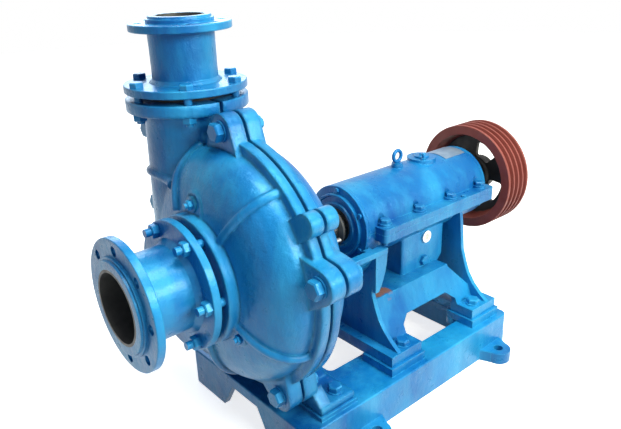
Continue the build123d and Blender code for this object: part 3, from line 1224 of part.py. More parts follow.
# Cast base: deck, side walls, pads, foundation ears and openings
deck_low = DECK_Z - DECK_T
with BuildPart() as base:
    with BuildSketch(at_z(-SHAFT_Z)):
        with Locations(((BASE_X0 + BASE_X1) / 2, 0)):
            RectangleRounded(BASE_X1 - BASE_X0, 2 * BASE_Y, 20)
    extrude(amount=SHAFT_Z + DECK_Z)
    fillet(base.faces().sort_by(Axis.Z)[-1].edges(), 4)
    with BuildSketch(at_z(-SHAFT_Z)):
        for ear_x in EAR_X:
            for side in (-1, 1):
                with Locations((ear_x, side * EAR_Y)):
                    Circle(EAR_R)
                with Locations((ear_x, side * (EAR_Y - 26))):
                    Trapezoid(116, 52, 66, rotation=0 if side > 0 else 180)
        with Locations((BASE_X1 - 8, 0)):
            RectangleRounded(40, 2 * BASE_Y - 16, 14)
    extrude(amount=EAR_T)
    with BuildSketch(at_z(-SHAFT_Z)):
        with Locations(((BASE_X0 + BASE_X1) / 2, 0)):
            RectangleRounded(BASE_X1 - BASE_X0 - 2 * BASE_WALL, 2 * (BASE_Y - BASE_WALL), 10)
    extrude(amount=SHAFT_Z + deck_low, mode=Mode.SUBTRACT)
    with BuildSketch(at_z(10 - SHAFT_Z)):
        for rib_x in BASE_RIB_X:
            with Locations((rib_x, 0)):
                Rectangle(14, 2 * BASE_Y - BASE_WALL)
    extrude(amount=SHAFT_Z + deck_low - 10)
    with BuildSketch(at_z(DECK_Z)):
        for side in (-1, 1):
            with Locations(((PUMP_FOOT_X0 + PUMP_FOOT_X1) / 2, side * 170)):
                Rectangle(PUMP_FOOT_X1 - PUMP_FOOT_X0 + 12, 112)
    extrude(amount=PUMP_PAD_H)
    with BuildSketch(at_z(DECK_Z)):
        for side in (-1, 1):
            with Locations((322, side * 171)):
                Rectangle(124, 102)
            with Locations((646, side * 178)):
                Rectangle(120, 88)
    extrude(amount=PAD_H)
    with BuildSketch(at_z(-SHAFT_Z - 1)):
        with Locations((275, 0)):
            RectangleRounded(220, 200, 16)
        with Locations((514, 0)):
            RectangleRounded(230, 336, 44)
    extrude(amount=SHAFT_Z + DECK_Z + 2, mode=Mode.SUBTRACT)
    with BuildSketch(at_z(deck_low)):
        with Locations((BAY_BOSS_X, -BAY_BOSS_Y), (BAY_BOSS_X, BAY_BOSS_Y)):
            Circle(BAY_BOSS_R)
    extrude(amount=DECK_T)
    with BuildSketch(at_z(deck_low)):
        with Locations((BAY_BOSS_X, -BAY_BOSS_Y), (BAY_BOSS_X, BAY_BOSS_Y)):
            Circle(BAY_BOSS_HOLE_R)
    extrude(amount=DECK_T, mode=Mode.SUBTRACT)
    with BuildSketch(at_x(BASE_X0 - 5)):
        with BuildLine():
            Polyline((-96, -SHAFT_Z - 1), (-52, deck_low - 10), (52, deck_low - 10), (96, -SHAFT_Z - 1),
                     close=True)
        make_face()
    extrude(amount=BASE_WALL + 10, mode=Mode.SUBTRACT)
    with BuildSketch(at_z(-SHAFT_Z - 1)):
        for ear_x in EAR_X:
            with Locations((ear_x, EAR_Y), (ear_x, -EAR_Y)):
                Circle(EAR_HOLE_R)
    extrude(amount=EAR_T + 2, mode=Mode.SUBTRACT)
    with BuildSketch(at_z(deck_low - 1)):
        with Locations((PUMP_BOLT_X, PUMP_BOLT_Y), (PUMP_BOLT_X, -PUMP_BOLT_Y)):
            Circle(FOOT_BOLT_R + BOLT_GAP)
        for bolt_x in FOOT_BOLT_X:
            with Locations((bolt_x, FOOT_BOLT_Y), (bolt_x, -FOOT_BOLT_Y)):
                Circle(FOOT_BOLT_R + BOLT_GAP)
    extrude(amount=DECK_T + PAD_H + 2, mode=Mode.SUBTRACT)

pump_foot_bolt = bolt(FOOT_BOLT_R, PUMP_FOOT_T + PUMP_PAD_H + DECK_T, washer=3, tail=6)
with BuildPart() as casing_foot_bolts:
    for side in (-1, 1):
        with Locations(at_z(DECK_Z + PUMP_PAD_H + PUMP_FOOT_T) * Pos(PUMP_BOLT_X, side * PUMP_BOLT_Y, 0)):
            add(pump_foot_bolt)

pedestal_foot_bolt = bolt(FOOT_BOLT_R, FOOT_T + PAD_H + DECK_T, washer=3, tail=6)
with BuildPart() as pedestal_foot_bolts:
    for side in (-1, 1):
        for bolt_x in FOOT_BOLT_X:
            with Locations(at_z(FOOT_Z + FOOT_T) * Pos(bolt_x, side * FOOT_BOLT_Y, 0)):
                add(pedestal_foot_bolt)

# Every piece is labelled and written to its own file
casing_front.part.label = "casing_front"
casing_rear.part.label = "casing_rear"
front_liner.part.label = "front_liner"
rear_liner.part.label = "rear_liner"
suction_spool.part.label = "suction_spool"
suction_lining.part.label = "suction_lining"
suction_studs.part.label = "suction_studs"
discharge_spool.part.label = "discharge_spool"
discharge_lining.part.label = "discharge_lining"
discharge_bolts.part.label = "discharge_bolts"
casing_bolts.part.label = "casing_bolts"
liner_studs.part.label = "liner_studs"
stuffing_box.part.label = "stuffing_box"
box_screws.part.label = "box_screws"
packing.part.label = "packing"
lantern_ring.part.label = "lantern_ring"
gland.part.label = "gland"
gland_studs.part.label = "gland_studs"
gland_nuts.part.label = "gland_nuts"
impeller.part.label = "impeller"
shaft.part.label = "shaft"
shaft_sleeve.part.label = "shaft_sleeve"
flinger.part.label = "flinger"
front_outer_ring.part.label = "front_outer_ring"
front_inner_ring.part.label = "front_inner_ring"
front_rollers.part.label = "front_rollers"
rear_outer_ring.part.label = "rear_outer_ring"
rear_inner_ring.part.label = "rear_inner_ring"
rear_rollers.part.label = "rear_rollers"
bearing_cap.part.label = "bearing_cap"
inspection_cover.part.label = "inspection_cover"
eye_bolt.part.label = "eye_bolt"
breather.part.label = "breather"
nameplate.part.label = "nameplate"
cap_bolts.part.label = "cap_bolts"
front_cover.part.label = "front_cover"
rear_cover.part.label = "rear_cover"
front_seal.part.label = "front_seal"
rear_seal.part.label = "rear_seal"
cover_screws.part.label = "cover_screws"
pedestal.part.label = "pedestal"
yoke_screws.part.label = "yoke_screws"
sight_glass.part.label = "sight_glass"
sight_lens.part.label = "sight_lens"
drain_plug.part.label = "drain_plug"
sheave.part.label = "sheave"
sheave_key.part.label = "sheave_key"
sheave_nut.part.label = "sheave_nut"
base.part.label = "base"
casing_foot_bolts.part.label = "casing_foot_bolts"
pedestal_foot_bolts.part.label = "pedestal_foot_bolts"
export_step(casing_front.part, "parts/casing_front.step")
export_step(casing_rear.part, "parts/casing_rear.step")
export_step(front_liner.part, "parts/front_liner.step")
export_step(rear_liner.part, "parts/rear_liner.step")
export_step(suction_spool.part, "parts/suction_spool.step")
export_step(suction_lining.part, "parts/suction_lining.step")
export_step(suction_studs.part, "parts/suction_studs.step")
export_step(discharge_spool.part, "parts/discharge_spool.step")
export_step(discharge_lining.part, "parts/discharge_lining.step")
export_step(discharge_bolts.part, "parts/discharge_bolts.step")
export_step(casing_bolts.part, "parts/casing_bolts.step")
export_step(liner_studs.part, "parts/liner_studs.step")
export_step(stuffing_box.part, "parts/stuffing_box.step")
export_step(box_screws.part, "parts/box_screws.step")
export_step(packing.part, "parts/packing.step")
export_step(lantern_ring.part, "parts/lantern_ring.step")
export_step(gland.part, "parts/gland.step")
export_step(gland_studs.part, "parts/gland_studs.step")
export_step(gland_nuts.part, "parts/gland_nuts.step")
export_step(impeller.part, "parts/impeller.step")
export_step(shaft.part, "parts/shaft.step")
export_step(shaft_sleeve.part, "parts/shaft_sleeve.step")
export_step(flinger.part, "parts/flinger.step")
export_step(front_outer_ring.part, "parts/front_outer_ring.step")
export_step(front_inner_ring.part, "parts/front_inner_ring.step")
export_step(front_rollers.part, "parts/front_rollers.step")
export_step(rear_outer_ring.part, "parts/rear_outer_ring.step")
export_step(rear_inner_ring.part, "parts/rear_inner_ring.step")
export_step(rear_rollers.part, "parts/rear_rollers.step")
export_step(bearing_cap.part, "parts/bearing_cap.step")
export_step(inspection_cover.part, "parts/inspection_cover.step")
export_step(eye_bolt.part, "parts/eye_bolt.step")
export_step(breather.part, "parts/breather.step")
export_step(nameplate.part, "parts/nameplate.step")
export_step(cap_bolts.part, "parts/cap_bolts.step")
export_step(front_cover.part, "parts/front_cover.step")
export_step(rear_cover.part, "parts/rear_cover.step")
export_step(front_seal.part, "parts/front_seal.step")
export_step(rear_seal.part, "parts/rear_seal.step")
export_step(cover_screws.part, "parts/cover_screws.step")
export_step(pedestal.part, "parts/pedestal.step")
export_step(yoke_screws.part, "parts/yoke_screws.step")
export_step(sight_glass.part, "parts/sight_glass.step")
export_step(sight_lens.part, "parts/sight_lens.step")
export_step(drain_plug.part, "parts/drain_plug.step")
export_step(sheave.part, "parts/sheave.step")
export_step(sheave_key.part, "parts/sheave_key.step")
export_step(sheave_nut.part, "parts/sheave_nut.step")
export_step(base.part, "parts/base.step")
export_step(casing_foot_bolts.part, "parts/casing_foot_bolts.step")
export_step(pedestal_foot_bolts.part, "parts/pedestal_foot_bolts.step")
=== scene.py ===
"""Studio picture of a rubber lined slurry pump: enamelled castings, rubber, bare metal and a primed sheave."""
import math

import bmesh
import bpy
from mathutils import Matrix, Vector


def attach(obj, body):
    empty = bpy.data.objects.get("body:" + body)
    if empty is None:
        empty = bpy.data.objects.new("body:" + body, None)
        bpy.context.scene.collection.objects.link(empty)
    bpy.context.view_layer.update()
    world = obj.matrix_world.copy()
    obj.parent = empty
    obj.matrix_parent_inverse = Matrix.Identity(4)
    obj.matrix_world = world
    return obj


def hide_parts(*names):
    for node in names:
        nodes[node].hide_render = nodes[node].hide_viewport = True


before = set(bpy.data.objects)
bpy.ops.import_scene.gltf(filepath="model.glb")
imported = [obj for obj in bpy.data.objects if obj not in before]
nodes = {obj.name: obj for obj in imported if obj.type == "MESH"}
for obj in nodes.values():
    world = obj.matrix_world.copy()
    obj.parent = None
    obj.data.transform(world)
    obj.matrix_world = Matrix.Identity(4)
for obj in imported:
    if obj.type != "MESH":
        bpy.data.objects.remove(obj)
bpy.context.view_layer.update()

SHAFT_HEIGHT = 0.437
PHOTO_WIDTH = 621
FOCAL_PIXELS = 639.0
SENSOR = 36.0
CAMERA_AT = Vector((-1.1325, -1.0966, 1.0732))
CAMERA_AZIMUTH = -40.25
CAMERA_ELEVATION = 22.07
CAMERA_ROLL = -1.86

ENAMEL = (0.003, 0.195, 0.51)
ENAMEL_WORN = (0.055, 0.50, 0.80)
ENAMEL_DEEP = (0.002, 0.066, 0.27)
ENAMEL_SHEEN = (0.40, 0.80, 1.0, 1.0)
BARE_PRIMER = (0.20, 0.105, 0.085)
PRIMER = (0.205, 0.042, 0.035)
PRIMER_DARK = (0.158, 0.027, 0.020)
# Pale primer for the sheave's ridges: dust, and a painted highlight along them
PRIMER_DUST_AND_HIGHLIGHT = (0.33, 0.088, 0.068)
BLACK_PAINT = (0.014, 0.013, 0.013)
RUBBER = (0.022, 0.024, 0.028)
RUBBER_BLOOM = (0.06, 0.062, 0.066)
STEEL = (0.42, 0.42, 0.43)
STEEL_TARNISH = (0.22, 0.20, 0.18)
BRIGHT_STEEL = (0.78, 0.79, 0.80)
BRONZE = (0.48, 0.30, 0.12)
BRONZE_TARNISH = (0.26, 0.15, 0.06)
FIBRE = (0.33, 0.29, 0.20)
FIBRE_GREASE = (0.14, 0.12, 0.09)
PLATE = (0.30, 0.42, 0.56)
PLATE_DULL = (0.16, 0.28, 0.44)
GLASS = (0.93, 0.92, 0.89)
GLASS_HAZE = (0.88, 0.87, 0.82)

SOFT_BOX = (1.0, 1.0, 0.85)
ROOM = (0.72, 0.86, 1.0)
ROOM_STRENGTH = 0.07
FLOOR = (0.80, 0.80, 0.80)
FLOOR_DULL = (0.76, 0.76, 0.76)
FLOOR_BOUNCE = (0.28, 0.28, 0.28)
FLOOR_LIFT = (0.78, 1.0)
FLOOR_FADE = (1.3, 4.0)
FLOOR_REACH = 8.0
PUMP_MIDDLE = (0.0, 0.0, 0.45)
# Name, place, sides, watts and colour of each lamp
LAMPS = (("key", (0.5, -3.0, 2.0), (2.4, 1.1), 175.0, SOFT_BOX),
         ("overhead", (-0.1, -0.8, 3.3), (1.8, 1.4), 118.0, SOFT_BOX),
         ("front", (-3.0, -0.6, 1.6), (0.7, 1.4), 5.0, ROOM),
         ("far", (0.8, 3.0, 1.8), (2.0, 1.4), 38.0, ROOM))

# Corners of the pocket under the yoke that the paint left bare, and the bore of the sheave's painted rim
BARE_POCKET = ((-0.099, -0.112, 0.245), (-0.035, 0.112, 0.288))
RIM_BORE = (0.1195, 0.1210)

# Casing: parting plane, discharge neck that the skin keeps clear of, and the bowl's outline as (x, r)
PARTING_X = -0.406
NECK_Y = 0.178
NECK_CLEAR = 0.088
NECK_FOOT = SHAFT_HEIGHT + 0.028
SKIN_LIFT = 0.0003
SKIN_STEPS = 5
SKIN_TURNS = 216
BOWL_LINE = ((0.024, 0.2710), (0.026, 0.2710), (0.048, 0.2680), (0.066, 0.2580), (0.082, 0.2420),
             (0.096, 0.2190), (0.106, 0.1900), (0.113, 0.1520), (0.1135, 0.1480))

CASINGS = ("casing_front", "casing_rear")
CASTINGS = ("suction_spool", "discharge_spool", "bearing_cap", "base", "stuffing_box", "gland", "front_cover",
            "rear_cover", "inspection_cover")
PAINTED_SMALL = ("suction_studs", "discharge_bolts", "casing_bolts", "liner_studs", "eye_bolt", "breather",
                 "cap_bolts", "cover_screws", "yoke_screws", "drain_plug", "casing_foot_bolts",
                 "pedestal_foot_bolts")
RUBBERS = ("front_liner", "rear_liner", "suction_lining", "discharge_lining", "impeller", "flinger",
           "front_seal", "rear_seal")
BARE_METAL = ("box_screws", "gland_studs", "gland_nuts", "shaft", "shaft_sleeve", "front_outer_ring",
              "front_inner_ring", "front_rollers", "rear_outer_ring", "rear_inner_ring", "rear_rollers",
              "sheave_key", "sheave_nut")


class Shader:
    """A node material with short calls for the textures that the finishes share."""

    def __init__(self, name):
        self.material = bpy.data.materials.new(name)
        self.material.use_nodes = True
        self.tree = self.material.node_tree
        self.bsdf = self.tree.nodes["Principled BSDF"]
        self.place = self.node("ShaderNodeTexCoord").outputs["Object"]

    def node(self, kind, **values):
        made = self.tree.nodes.new(kind)
        for key, value in values.items():
            setattr(made, key, value)
        return made

    def link(self, source, target):
        self.tree.links.new(source, target)

    def noise(self, scale, detail=3.0, rough=0.5, stretch=None):
        texture = self.node("ShaderNodeTexNoise")
        texture.inputs["Scale"].default_value = scale
        texture.inputs["Detail"].default_value = detail
        texture.inputs["Roughness"].default_value = rough
        source = self.place
        if stretch:
            mapping = self.node("ShaderNodeMapping")
            mapping.inputs["Scale"].default_value = stretch
            self.link(source, mapping.inputs["Vector"])
            source = mapping.outputs["Vector"]
        self.link(source, texture.inputs["Vector"])
        return texture.outputs["Fac"]

    def span(self, source, low, high, to_low=0.0, to_high=1.0):
        """Source between low and high, spread over to_low to to_high."""
        made = self.node("ShaderNodeMapRange", clamp=True)
        for key, value in (("From Min", low), ("From Max", high), ("To Min", to_low), ("To Max", to_high)):
            made.inputs[key].default_value = value
        self.link(source, made.inputs["Value"])
        return made.outputs["Result"]

    def mix(self, factor, first, second):
        """Colour between first and second, each a socket or three numbers."""
        made = self.node("ShaderNodeMix", data_type="RGBA")
        self.link(factor, made.inputs[0])
        for socket, value in ((made.inputs[6], first), (made.inputs[7], second)):
            if isinstance(value, tuple):
                socket.default_value = (*value, 1.0)
            else:
                self.link(value, socket)
        return made.outputs[2]

    def sum(self, first, second, operation="ADD"):
        made = self.node("ShaderNodeMath", operation=operation)
        for socket, value in zip(made.inputs, (first, second)):
            if isinstance(value, float):
                socket.default_value = value
            else:
                self.link(value, socket)
        return made.outputs["Value"]

    def bump(self, height, distance, strength=1.0, normal=None):
        made = self.node("ShaderNodeBump")
        made.inputs["Distance"].default_value = distance
        made.inputs["Strength"].default_value = strength
        self.link(height, made.inputs["Height"])
        if normal is not None:
            self.link(normal, made.inputs["Normal"])
        return made.outputs["Normal"]

    def rounded(self, radius, samples=4):
        """Normals that round the edges of a piece."""
        made = self.node("ShaderNodeBevel", samples=samples)
        made.inputs["Radius"].default_value = radius
        return made.outputs["Normal"]

    def edges(self, radius):
        """1 on the edges of a piece, 0 on its faces, from how far the rounded normal leans."""
        geometry = self.node("ShaderNodeNewGeometry")
        dot = self.node("ShaderNodeVectorMath", operation="DOT_PRODUCT")
        self.link(self.rounded(radius), dot.inputs[0])
        self.link(geometry.outputs["Normal"], dot.inputs[1])
        return self.span(dot.outputs["Value"], 0.80, 0.995, 1.0, 0.0)

    def inside(self, box, soft, ragged):
        """1 inside the box of two corners, 0 outside it, with a ragged edge."""
        parts = self.node("ShaderNodeSeparateXYZ")
        self.link(self.place, parts.inputs["Vector"])
        inside = None
        for axis, low, high in zip("XYZ", *box):
            place = self.sum(parts.outputs[axis], ragged)
            for made in (self.span(place, low - soft, low), self.span(place, high, high + soft, 1.0, 0.0)):
                inside = made if inside is None else self.sum(inside, made, "MULTIPLY")
        return inside

    def set(self, **values):
        for key, value in values.items():
            self.bsdf.inputs[key.replace("_", " ")].default_value = value


def enamel(name, cast_depth, round_edge, primer_box=None, samples=4):
    """Thick glossy blue enamel over a sand casting, thin on its edges, with primer left bare in one box."""
    s = Shader(name)
    cloud = s.span(s.noise(3.2, 4.0), 0.32, 0.68)
    streak = s.span(s.noise(11.0, 5.0, 0.6, (1.0, 1.0, 0.25)), 0.40, 0.72)
    colour = s.mix(cloud, ENAMEL_DEEP, ENAMEL)
    colour = s.mix(s.sum(streak, 0.35, "MULTIPLY"), colour, ENAMEL_WORN)
    worn = s.sum(s.edges(0.0030), s.span(s.noise(46.0, 4.0, 0.6), 0.42, 0.62), "MULTIPLY")
    colour = s.mix(s.sum(worn, 0.55, "MULTIPLY"), colour, ENAMEL_WORN)
    speck = s.span(s.noise(260.0, 2.0), 0.70, 0.76)
    colour = s.mix(s.sum(speck, 0.08, "MULTIPLY"), colour, ENAMEL_DEEP)
    s.link(colour, s.bsdf.inputs["Base Color"])
    rough = s.span(s.noise(24.0, 4.0, 0.6), 0.30, 0.70, 0.24, 0.42)
    s.link(rough, s.bsdf.inputs["Roughness"])
    casting = s.bump(s.noise(34.0, 5.0, 0.62), cast_depth, 0.8, s.rounded(round_edge, samples))
    brushed = s.bump(s.noise(95.0, 4.0, 0.6, (1.0, 1.0, 0.35)), 0.0014, 0.6, casting)
    peel = s.bump(s.noise(300.0, 3.0, 0.65), 0.0008, 0.7, brushed)
    s.link(peel, s.bsdf.inputs["Normal"])
    s.set(Metallic=0.10, Coat_Weight=0.12, Coat_Roughness=0.15, IOR=1.5, Specular_IOR_Level=0.36,
          Specular_Tint=ENAMEL_SHEEN)
    if primer_box:
        bare = s.inside(primer_box, 0.006, s.span(s.noise(55.0, 4.0), 0.3, 0.7, -0.008, 0.008))
        s.link(s.mix(bare, colour, BARE_PRIMER), s.bsdf.inputs["Base Color"])
    return s.material


def rubber(name):
    """Moulded black rubber with a fine matt skin and a pale bloom."""
    s = Shader(name)
    bloom = s.span(s.noise(9.0, 6.0, 0.65), 0.45, 0.75)
    s.link(s.mix(bloom, RUBBER, RUBBER_BLOOM), s.bsdf.inputs["Base Color"])
    s.link(s.span(s.noise(60.0, 3.0), 0.3, 0.7, 0.42, 0.62), s.bsdf.inputs["Roughness"])
    s.link(s.bump(s.noise(300.0, 4.0, 0.6), 0.0004, 0.35, s.rounded(0.0015)), s.bsdf.inputs["Normal"])
    return s.material


def bare_metal(name, colour, dark, rough_low, rough_high, stretch):
    """Machined metal with fine tool marks and a little tarnish."""
    s = Shader(name)
    tarnish = s.span(s.noise(18.0, 5.0, 0.6), 0.42, 0.72)
    s.link(s.mix(tarnish, colour, dark), s.bsdf.inputs["Base Color"])
    marks = s.noise(90.0, 4.0, 0.7, stretch)
    s.link(s.span(marks, 0.3, 0.7, rough_low, rough_high), s.bsdf.inputs["Roughness"])
    s.link(s.bump(marks, 0.0002, 0.25, s.rounded(0.0008)), s.bsdf.inputs["Normal"])
    s.set(Metallic=1.0)
    return s.material


def braid(name):
    """Square braided packing with a greasy, woven skin."""
    s = Shader(name)
    weave = s.node("ShaderNodeTexWave", wave_type="BANDS", bands_direction="DIAGONAL")
    weave.inputs["Scale"].default_value = 120.0
    weave.inputs["Distortion"].default_value = 1.5
    s.link(s.place, weave.inputs["Vector"])
    s.link(s.mix(weave.outputs["Fac"], FIBRE_GREASE, FIBRE), s.bsdf.inputs["Base Color"])
    s.link(s.bump(weave.outputs["Fac"], 0.0008, 0.6), s.bsdf.inputs["Normal"])
    s.link(s.span(s.noise(80.0), 0.3, 0.7, 0.6, 0.85), s.bsdf.inputs["Roughness"])
    return s.material


def primed_sheave(name):
    """Oxide primer on the rim of the sheave, black paint on its web and hub, pale dust and a painted highlight
    on the ridges.
    """
    s = Shader(name)
    parts = s.node("ShaderNodeSeparateXYZ")
    s.link(s.place, parts.inputs["Vector"])
    height = s.sum(parts.outputs["Z"], SHAFT_HEIGHT, "SUBTRACT")
    radius = s.sum(s.sum(s.sum(parts.outputs["Y"], parts.outputs["Y"], "MULTIPLY"),
                         s.sum(height, height, "MULTIPLY")), 0.5, "POWER")
    ragged = s.sum(radius, s.span(s.noise(70.0, 4.0), 0.3, 0.7, -0.0015, 0.0015))
    rim = s.span(ragged, *RIM_BORE)
    cloud = s.span(s.noise(16.0, 5.0, 0.6), 0.35, 0.70)
    primer = s.mix(cloud, PRIMER, PRIMER_DARK)
    # Ridges lightened: partly dust, partly a painted highlight along the edges
    ridge_dust_and_highlight = s.span(s.sum(s.edges(0.0018), s.noise(60.0, 3.0), "MULTIPLY"), 0.15, 0.5)
    primer = s.mix(ridge_dust_and_highlight, primer, PRIMER_DUST_AND_HIGHLIGHT)
    s.link(s.mix(rim, BLACK_PAINT, primer), s.bsdf.inputs["Base Color"])
    s.link(s.span(s.noise(40.0, 4.0), 0.3, 0.7, 0.45, 0.68), s.bsdf.inputs["Roughness"])
    s.link(s.bump(s.noise(150.0, 4.0, 0.6), 0.0006, 0.35, s.rounded(0.0012)), s.bsdf.inputs["Normal"])
    return s.material


def gauge_glass(name):
    """Clear oil gauge glass, slightly yellowed."""
    s = Shader(name)
    haze = s.span(s.noise(120.0, 3.0), 0.3, 0.7)
    s.link(s.mix(haze, GLASS, GLASS_HAZE), s.bsdf.inputs["Base Color"])
    s.link(s.span(s.noise(60.0), 0.3, 0.7, 0.04, 0.14), s.bsdf.inputs["Roughness"])
    s.link(s.bump(s.noise(200.0, 2.0), 0.0001, 0.2), s.bsdf.inputs["Normal"])
    s.set(Transmission_Weight=0.45, IOR=1.5)
    return s.material


def blank_plate(name):
    """Plain aluminium plate with a brushed grain and no lettering."""
    s = Shader(name)
    grain = s.noise(140.0, 4.0, 0.7, (0.15, 6.0, 6.0))
    s.link(s.mix(s.span(s.noise(22.0, 4.0), 0.4, 0.7), PLATE, PLATE_DULL), s.bsdf.inputs["Base Color"])
    s.link(s.span(grain, 0.3, 0.7, 0.28, 0.48), s.bsdf.inputs["Roughness"])
    s.link(s.bump(grain, 0.0001, 0.3, s.rounded(0.0006)), s.bsdf.inputs["Normal"])
    s.set(Metallic=0.9)
    return s.material


def outline_curve(points, steps):
    """Smooth line through the points, as (x, r) with the outward normal at each."""
    line = []
    last = len(points) - 1
    for i in range(last):
        before, start, end, after = (Vector(points[min(max(j, 0), last)]) for j in (i - 1, i, i + 1, i + 2))
        slope = end - before
        bend = 2 * before - 5 * start + 4 * end - after
        twist = 3 * start - before - 3 * end + after
        for step in range(steps + (i == last - 1)):
            t = step / steps
            place = 0.5 * (2 * start + slope * t + bend * t * t + twist * t ** 3)
            along = 0.5 * (slope + 2 * bend * t + 3 * twist * t * t)
            line.append((place, Vector((-along.y, along.x)).normalized()))
    return line


def over_neck(vert):
    """Whether a point of the skin would lie in the discharge neck."""
    return math.hypot(vert.co.x - PARTING_X, vert.co.y - NECK_Y) < NECK_CLEAR and vert.co.z > NECK_FOOT


def smooth_casting(name, side, material):
    """The casing half with a smooth cast skin over the flats of its bowl."""
    line = outline_curve(BOWL_LINE, SKIN_STEPS)
    mesh = bmesh.new()
    mesh.from_mesh(nodes[name].data)
    rings = []
    for number, (place, normal) in enumerate(line):
        # Both ends dip into the casting, so that no rim stands out
        x, r = place + normal * (SKIN_LIFT if 0 < number < len(line) - 1 else -SKIN_LIFT)
        ring = []
        for turn in range(SKIN_TURNS):
            angle = 2 * math.pi * turn / SKIN_TURNS
            y, z = r * math.cos(angle), SHAFT_HEIGHT + r * math.sin(angle)
            ring.append(mesh.verts.new((PARTING_X + side * x, y, z)))
        rings.append(ring)
    for inner, outer in zip(rings, rings[1:]):
        for turn in range(SKIN_TURNS):
            corners = (inner[turn], inner[turn - 1], outer[turn - 1], outer[turn])
            if not any(over_neck(vert) for vert in corners):
                mesh.faces.new(corners if side < 0 else corners[::-1]).smooth = True
    loose = [vert for ring in rings for vert in ring if not vert.link_faces]
    bmesh.ops.delete(mesh, geom=loose, context="VERTS")
    data = bpy.data.meshes.new(name + "_cast")
    mesh.to_mesh(data)
    mesh.free()
    data.materials.append(material)
    made = bpy.data.objects.new(name + "_cast", data)
    bpy.context.scene.collection.objects.link(made)
    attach(made, "frame")
    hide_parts(name)


def dress(names, material):
    for name in names:
        mesh = nodes[name].data
        mesh.materials.clear()
        mesh.materials.append(material)


casing_paint = enamel("paint_blue_casing", 0.0030, 0.016, samples=8)
dress(CASINGS, casing_paint)
for casing, side in zip(CASINGS, (-1, 1)):
    smooth_casting(casing, side, casing_paint)
dress(CASTINGS, enamel("paint_blue", 0.0026, 0.0028))
dress(("pedestal",), enamel("paint_blue_pedestal", 0.0026, 0.0028, BARE_POCKET))
dress(PAINTED_SMALL, enamel("paint_blue_small", 0.0005, 0.0010))
dress(RUBBERS, rubber("rubber_black"))
dress(BARE_METAL, bare_metal("steel", STEEL, STEEL_TARNISH, 0.22, 0.42, (0.4, 5.0, 5.0)))
dress(("sight_glass",), bare_metal("bright_steel", BRIGHT_STEEL, STEEL, 0.25, 0.40, (1.0, 1.0, 1.0)))
dress(("lantern_ring",), bare_metal("bronze", BRONZE, BRONZE_TARNISH, 0.25, 0.45, (0.4, 5.0, 5.0)))
dress(("packing",), braid("packing_fibre"))
dress(("nameplate",), blank_plate("blank_plate"))
dress(("sight_lens",), gauge_glass("glass"))
dress(("sheave",), primed_sheave("primer_red"))


def background_rays(tree):
    """Socket that is 1 for rays that see the white background: from the camera, mirrored or through glass."""
    path = tree.nodes.new("ShaderNodeLightPath")
    total = path.outputs["Is Camera Ray"]
    for kind in ("Is Glossy Ray", "Is Transmission Ray"):
        either = tree.nodes.new("ShaderNodeMath")
        either.operation = "MAXIMUM"
        tree.links.new(total, either.inputs[0])
        tree.links.new(path.outputs[kind], either.inputs[1])
        total = either.outputs["Value"]
    return total


def backdrop():
    """Round pale floor that runs out into white and keeps the pump's shadow."""
    mesh = bpy.data.meshes.new("floor")
    turns = [math.radians(angle) for angle in range(0, 360, 3)]
    rim = [(FLOOR_REACH * math.cos(turn), FLOOR_REACH * math.sin(turn), 0.0) for turn in turns]
    mesh.from_pydata(rim, [], [tuple(range(len(rim)))])
    floor = bpy.data.objects.new("floor", mesh)
    bpy.context.scene.collection.objects.link(floor)
    s = Shader("floor_pale")
    pale = s.mix(s.span(s.noise(1.5, 4.0), 0.3, 0.7), FLOOR, FLOOR_DULL)
    s.link(s.span(s.noise(9.0), 0.3, 0.7, 0.75, 0.9), s.bsdf.inputs["Roughness"])
    seen = background_rays(s.tree)
    s.link(s.mix(seen, FLOOR_BOUNCE, pale), s.bsdf.inputs["Base Color"])
    s.set(Emission_Color=(1.0, 1.0, 1.0, 1.0))
    away = s.node("ShaderNodeVectorMath", operation="LENGTH")
    s.link(s.place, away.inputs[0])
    lift = s.sum(seen, s.span(away.outputs["Value"], *FLOOR_FADE, *FLOOR_LIFT), "MULTIPLY")
    s.link(lift, s.bsdf.inputs["Emission Strength"])
    mesh.materials.append(s.material)


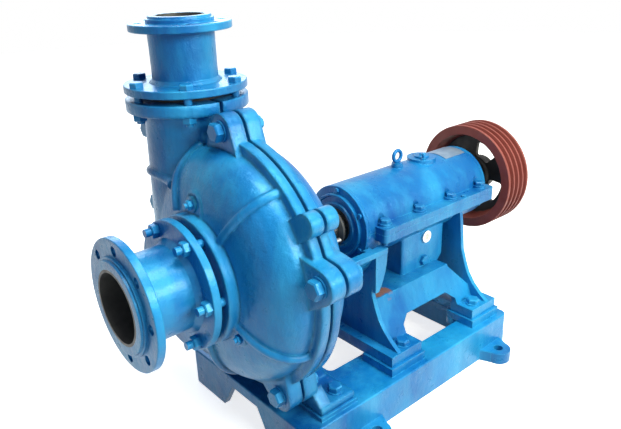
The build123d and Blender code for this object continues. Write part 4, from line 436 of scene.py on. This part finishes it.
def lamp(name, place, sides, power, colour):
    """Rectangular lamp that faces the middle of the pump."""
    data = bpy.data.lights.new(name, "AREA")
    data.shape = "RECTANGLE"
    data.size, data.size_y = sides
    data.energy = power
    data.color = colour
    made = bpy.data.objects.new(name, data)
    made.location = place
    made.rotation_mode = "QUATERNION"
    made.rotation_quaternion = (Vector(PUMP_MIDDLE) - Vector(place)).to_track_quat("-Z", "Y")
    bpy.context.scene.collection.objects.link(made)


def studio():
    """The lamps, and a dim pale room behind the white background."""
    for row in LAMPS:
        lamp(*row)
    world = bpy.data.worlds.new("room")
    bpy.context.scene.world = world
    world.use_nodes = True
    tree = world.node_tree
    tree.nodes.clear()
    out = tree.nodes.new("ShaderNodeOutputWorld")
    room = tree.nodes.new("ShaderNodeBackground")
    room.inputs["Color"].default_value = (*ROOM, 1.0)
    room.inputs["Strength"].default_value = ROOM_STRENGTH
    seen = tree.nodes.new("ShaderNodeBackground")
    seen.inputs["Color"].default_value = (1.0, 1.0, 1.0, 1.0)
    seen.inputs["Strength"].default_value = 1.0
    mixed = tree.nodes.new("ShaderNodeMixShader")
    tree.links.new(background_rays(tree), mixed.inputs["Fac"])
    tree.links.new(room.outputs["Background"], mixed.inputs[1])
    tree.links.new(seen.outputs["Background"], mixed.inputs[2])
    tree.links.new(mixed.outputs["Shader"], out.inputs["Surface"])


def photo_camera():
    """Camera at the photograph's place: its turn about the upright, its tilt and its small roll."""
    a, e, r = (math.radians(v) for v in (CAMERA_AZIMUTH, CAMERA_ELEVATION, CAMERA_ROLL))
    back = Vector((math.sin(a) * math.cos(e), -math.cos(a) * math.cos(e), math.sin(e)))
    level = Vector((math.cos(a), math.sin(a), 0.0))
    up = back.cross(level)
    right = level * math.cos(r) + up * math.sin(r)
    data = bpy.data.cameras.new("photo_camera")
    data.sensor_width = SENSOR
    data.lens = SENSOR * FOCAL_PIXELS / PHOTO_WIDTH
    data.clip_start = 0.05
    data.clip_end = 100.0
    made = bpy.data.objects.new("photo_camera", data)
    turned = Matrix((right, back.cross(right), back)).transposed().to_4x4()
    made.matrix_world = Matrix.Translation(CAMERA_AT) @ turned
    bpy.context.scene.collection.objects.link(made)
    bpy.context.scene.camera = made


backdrop()
studio()
photo_camera()
bpy.context.scene.view_settings.view_transform = "Standard"
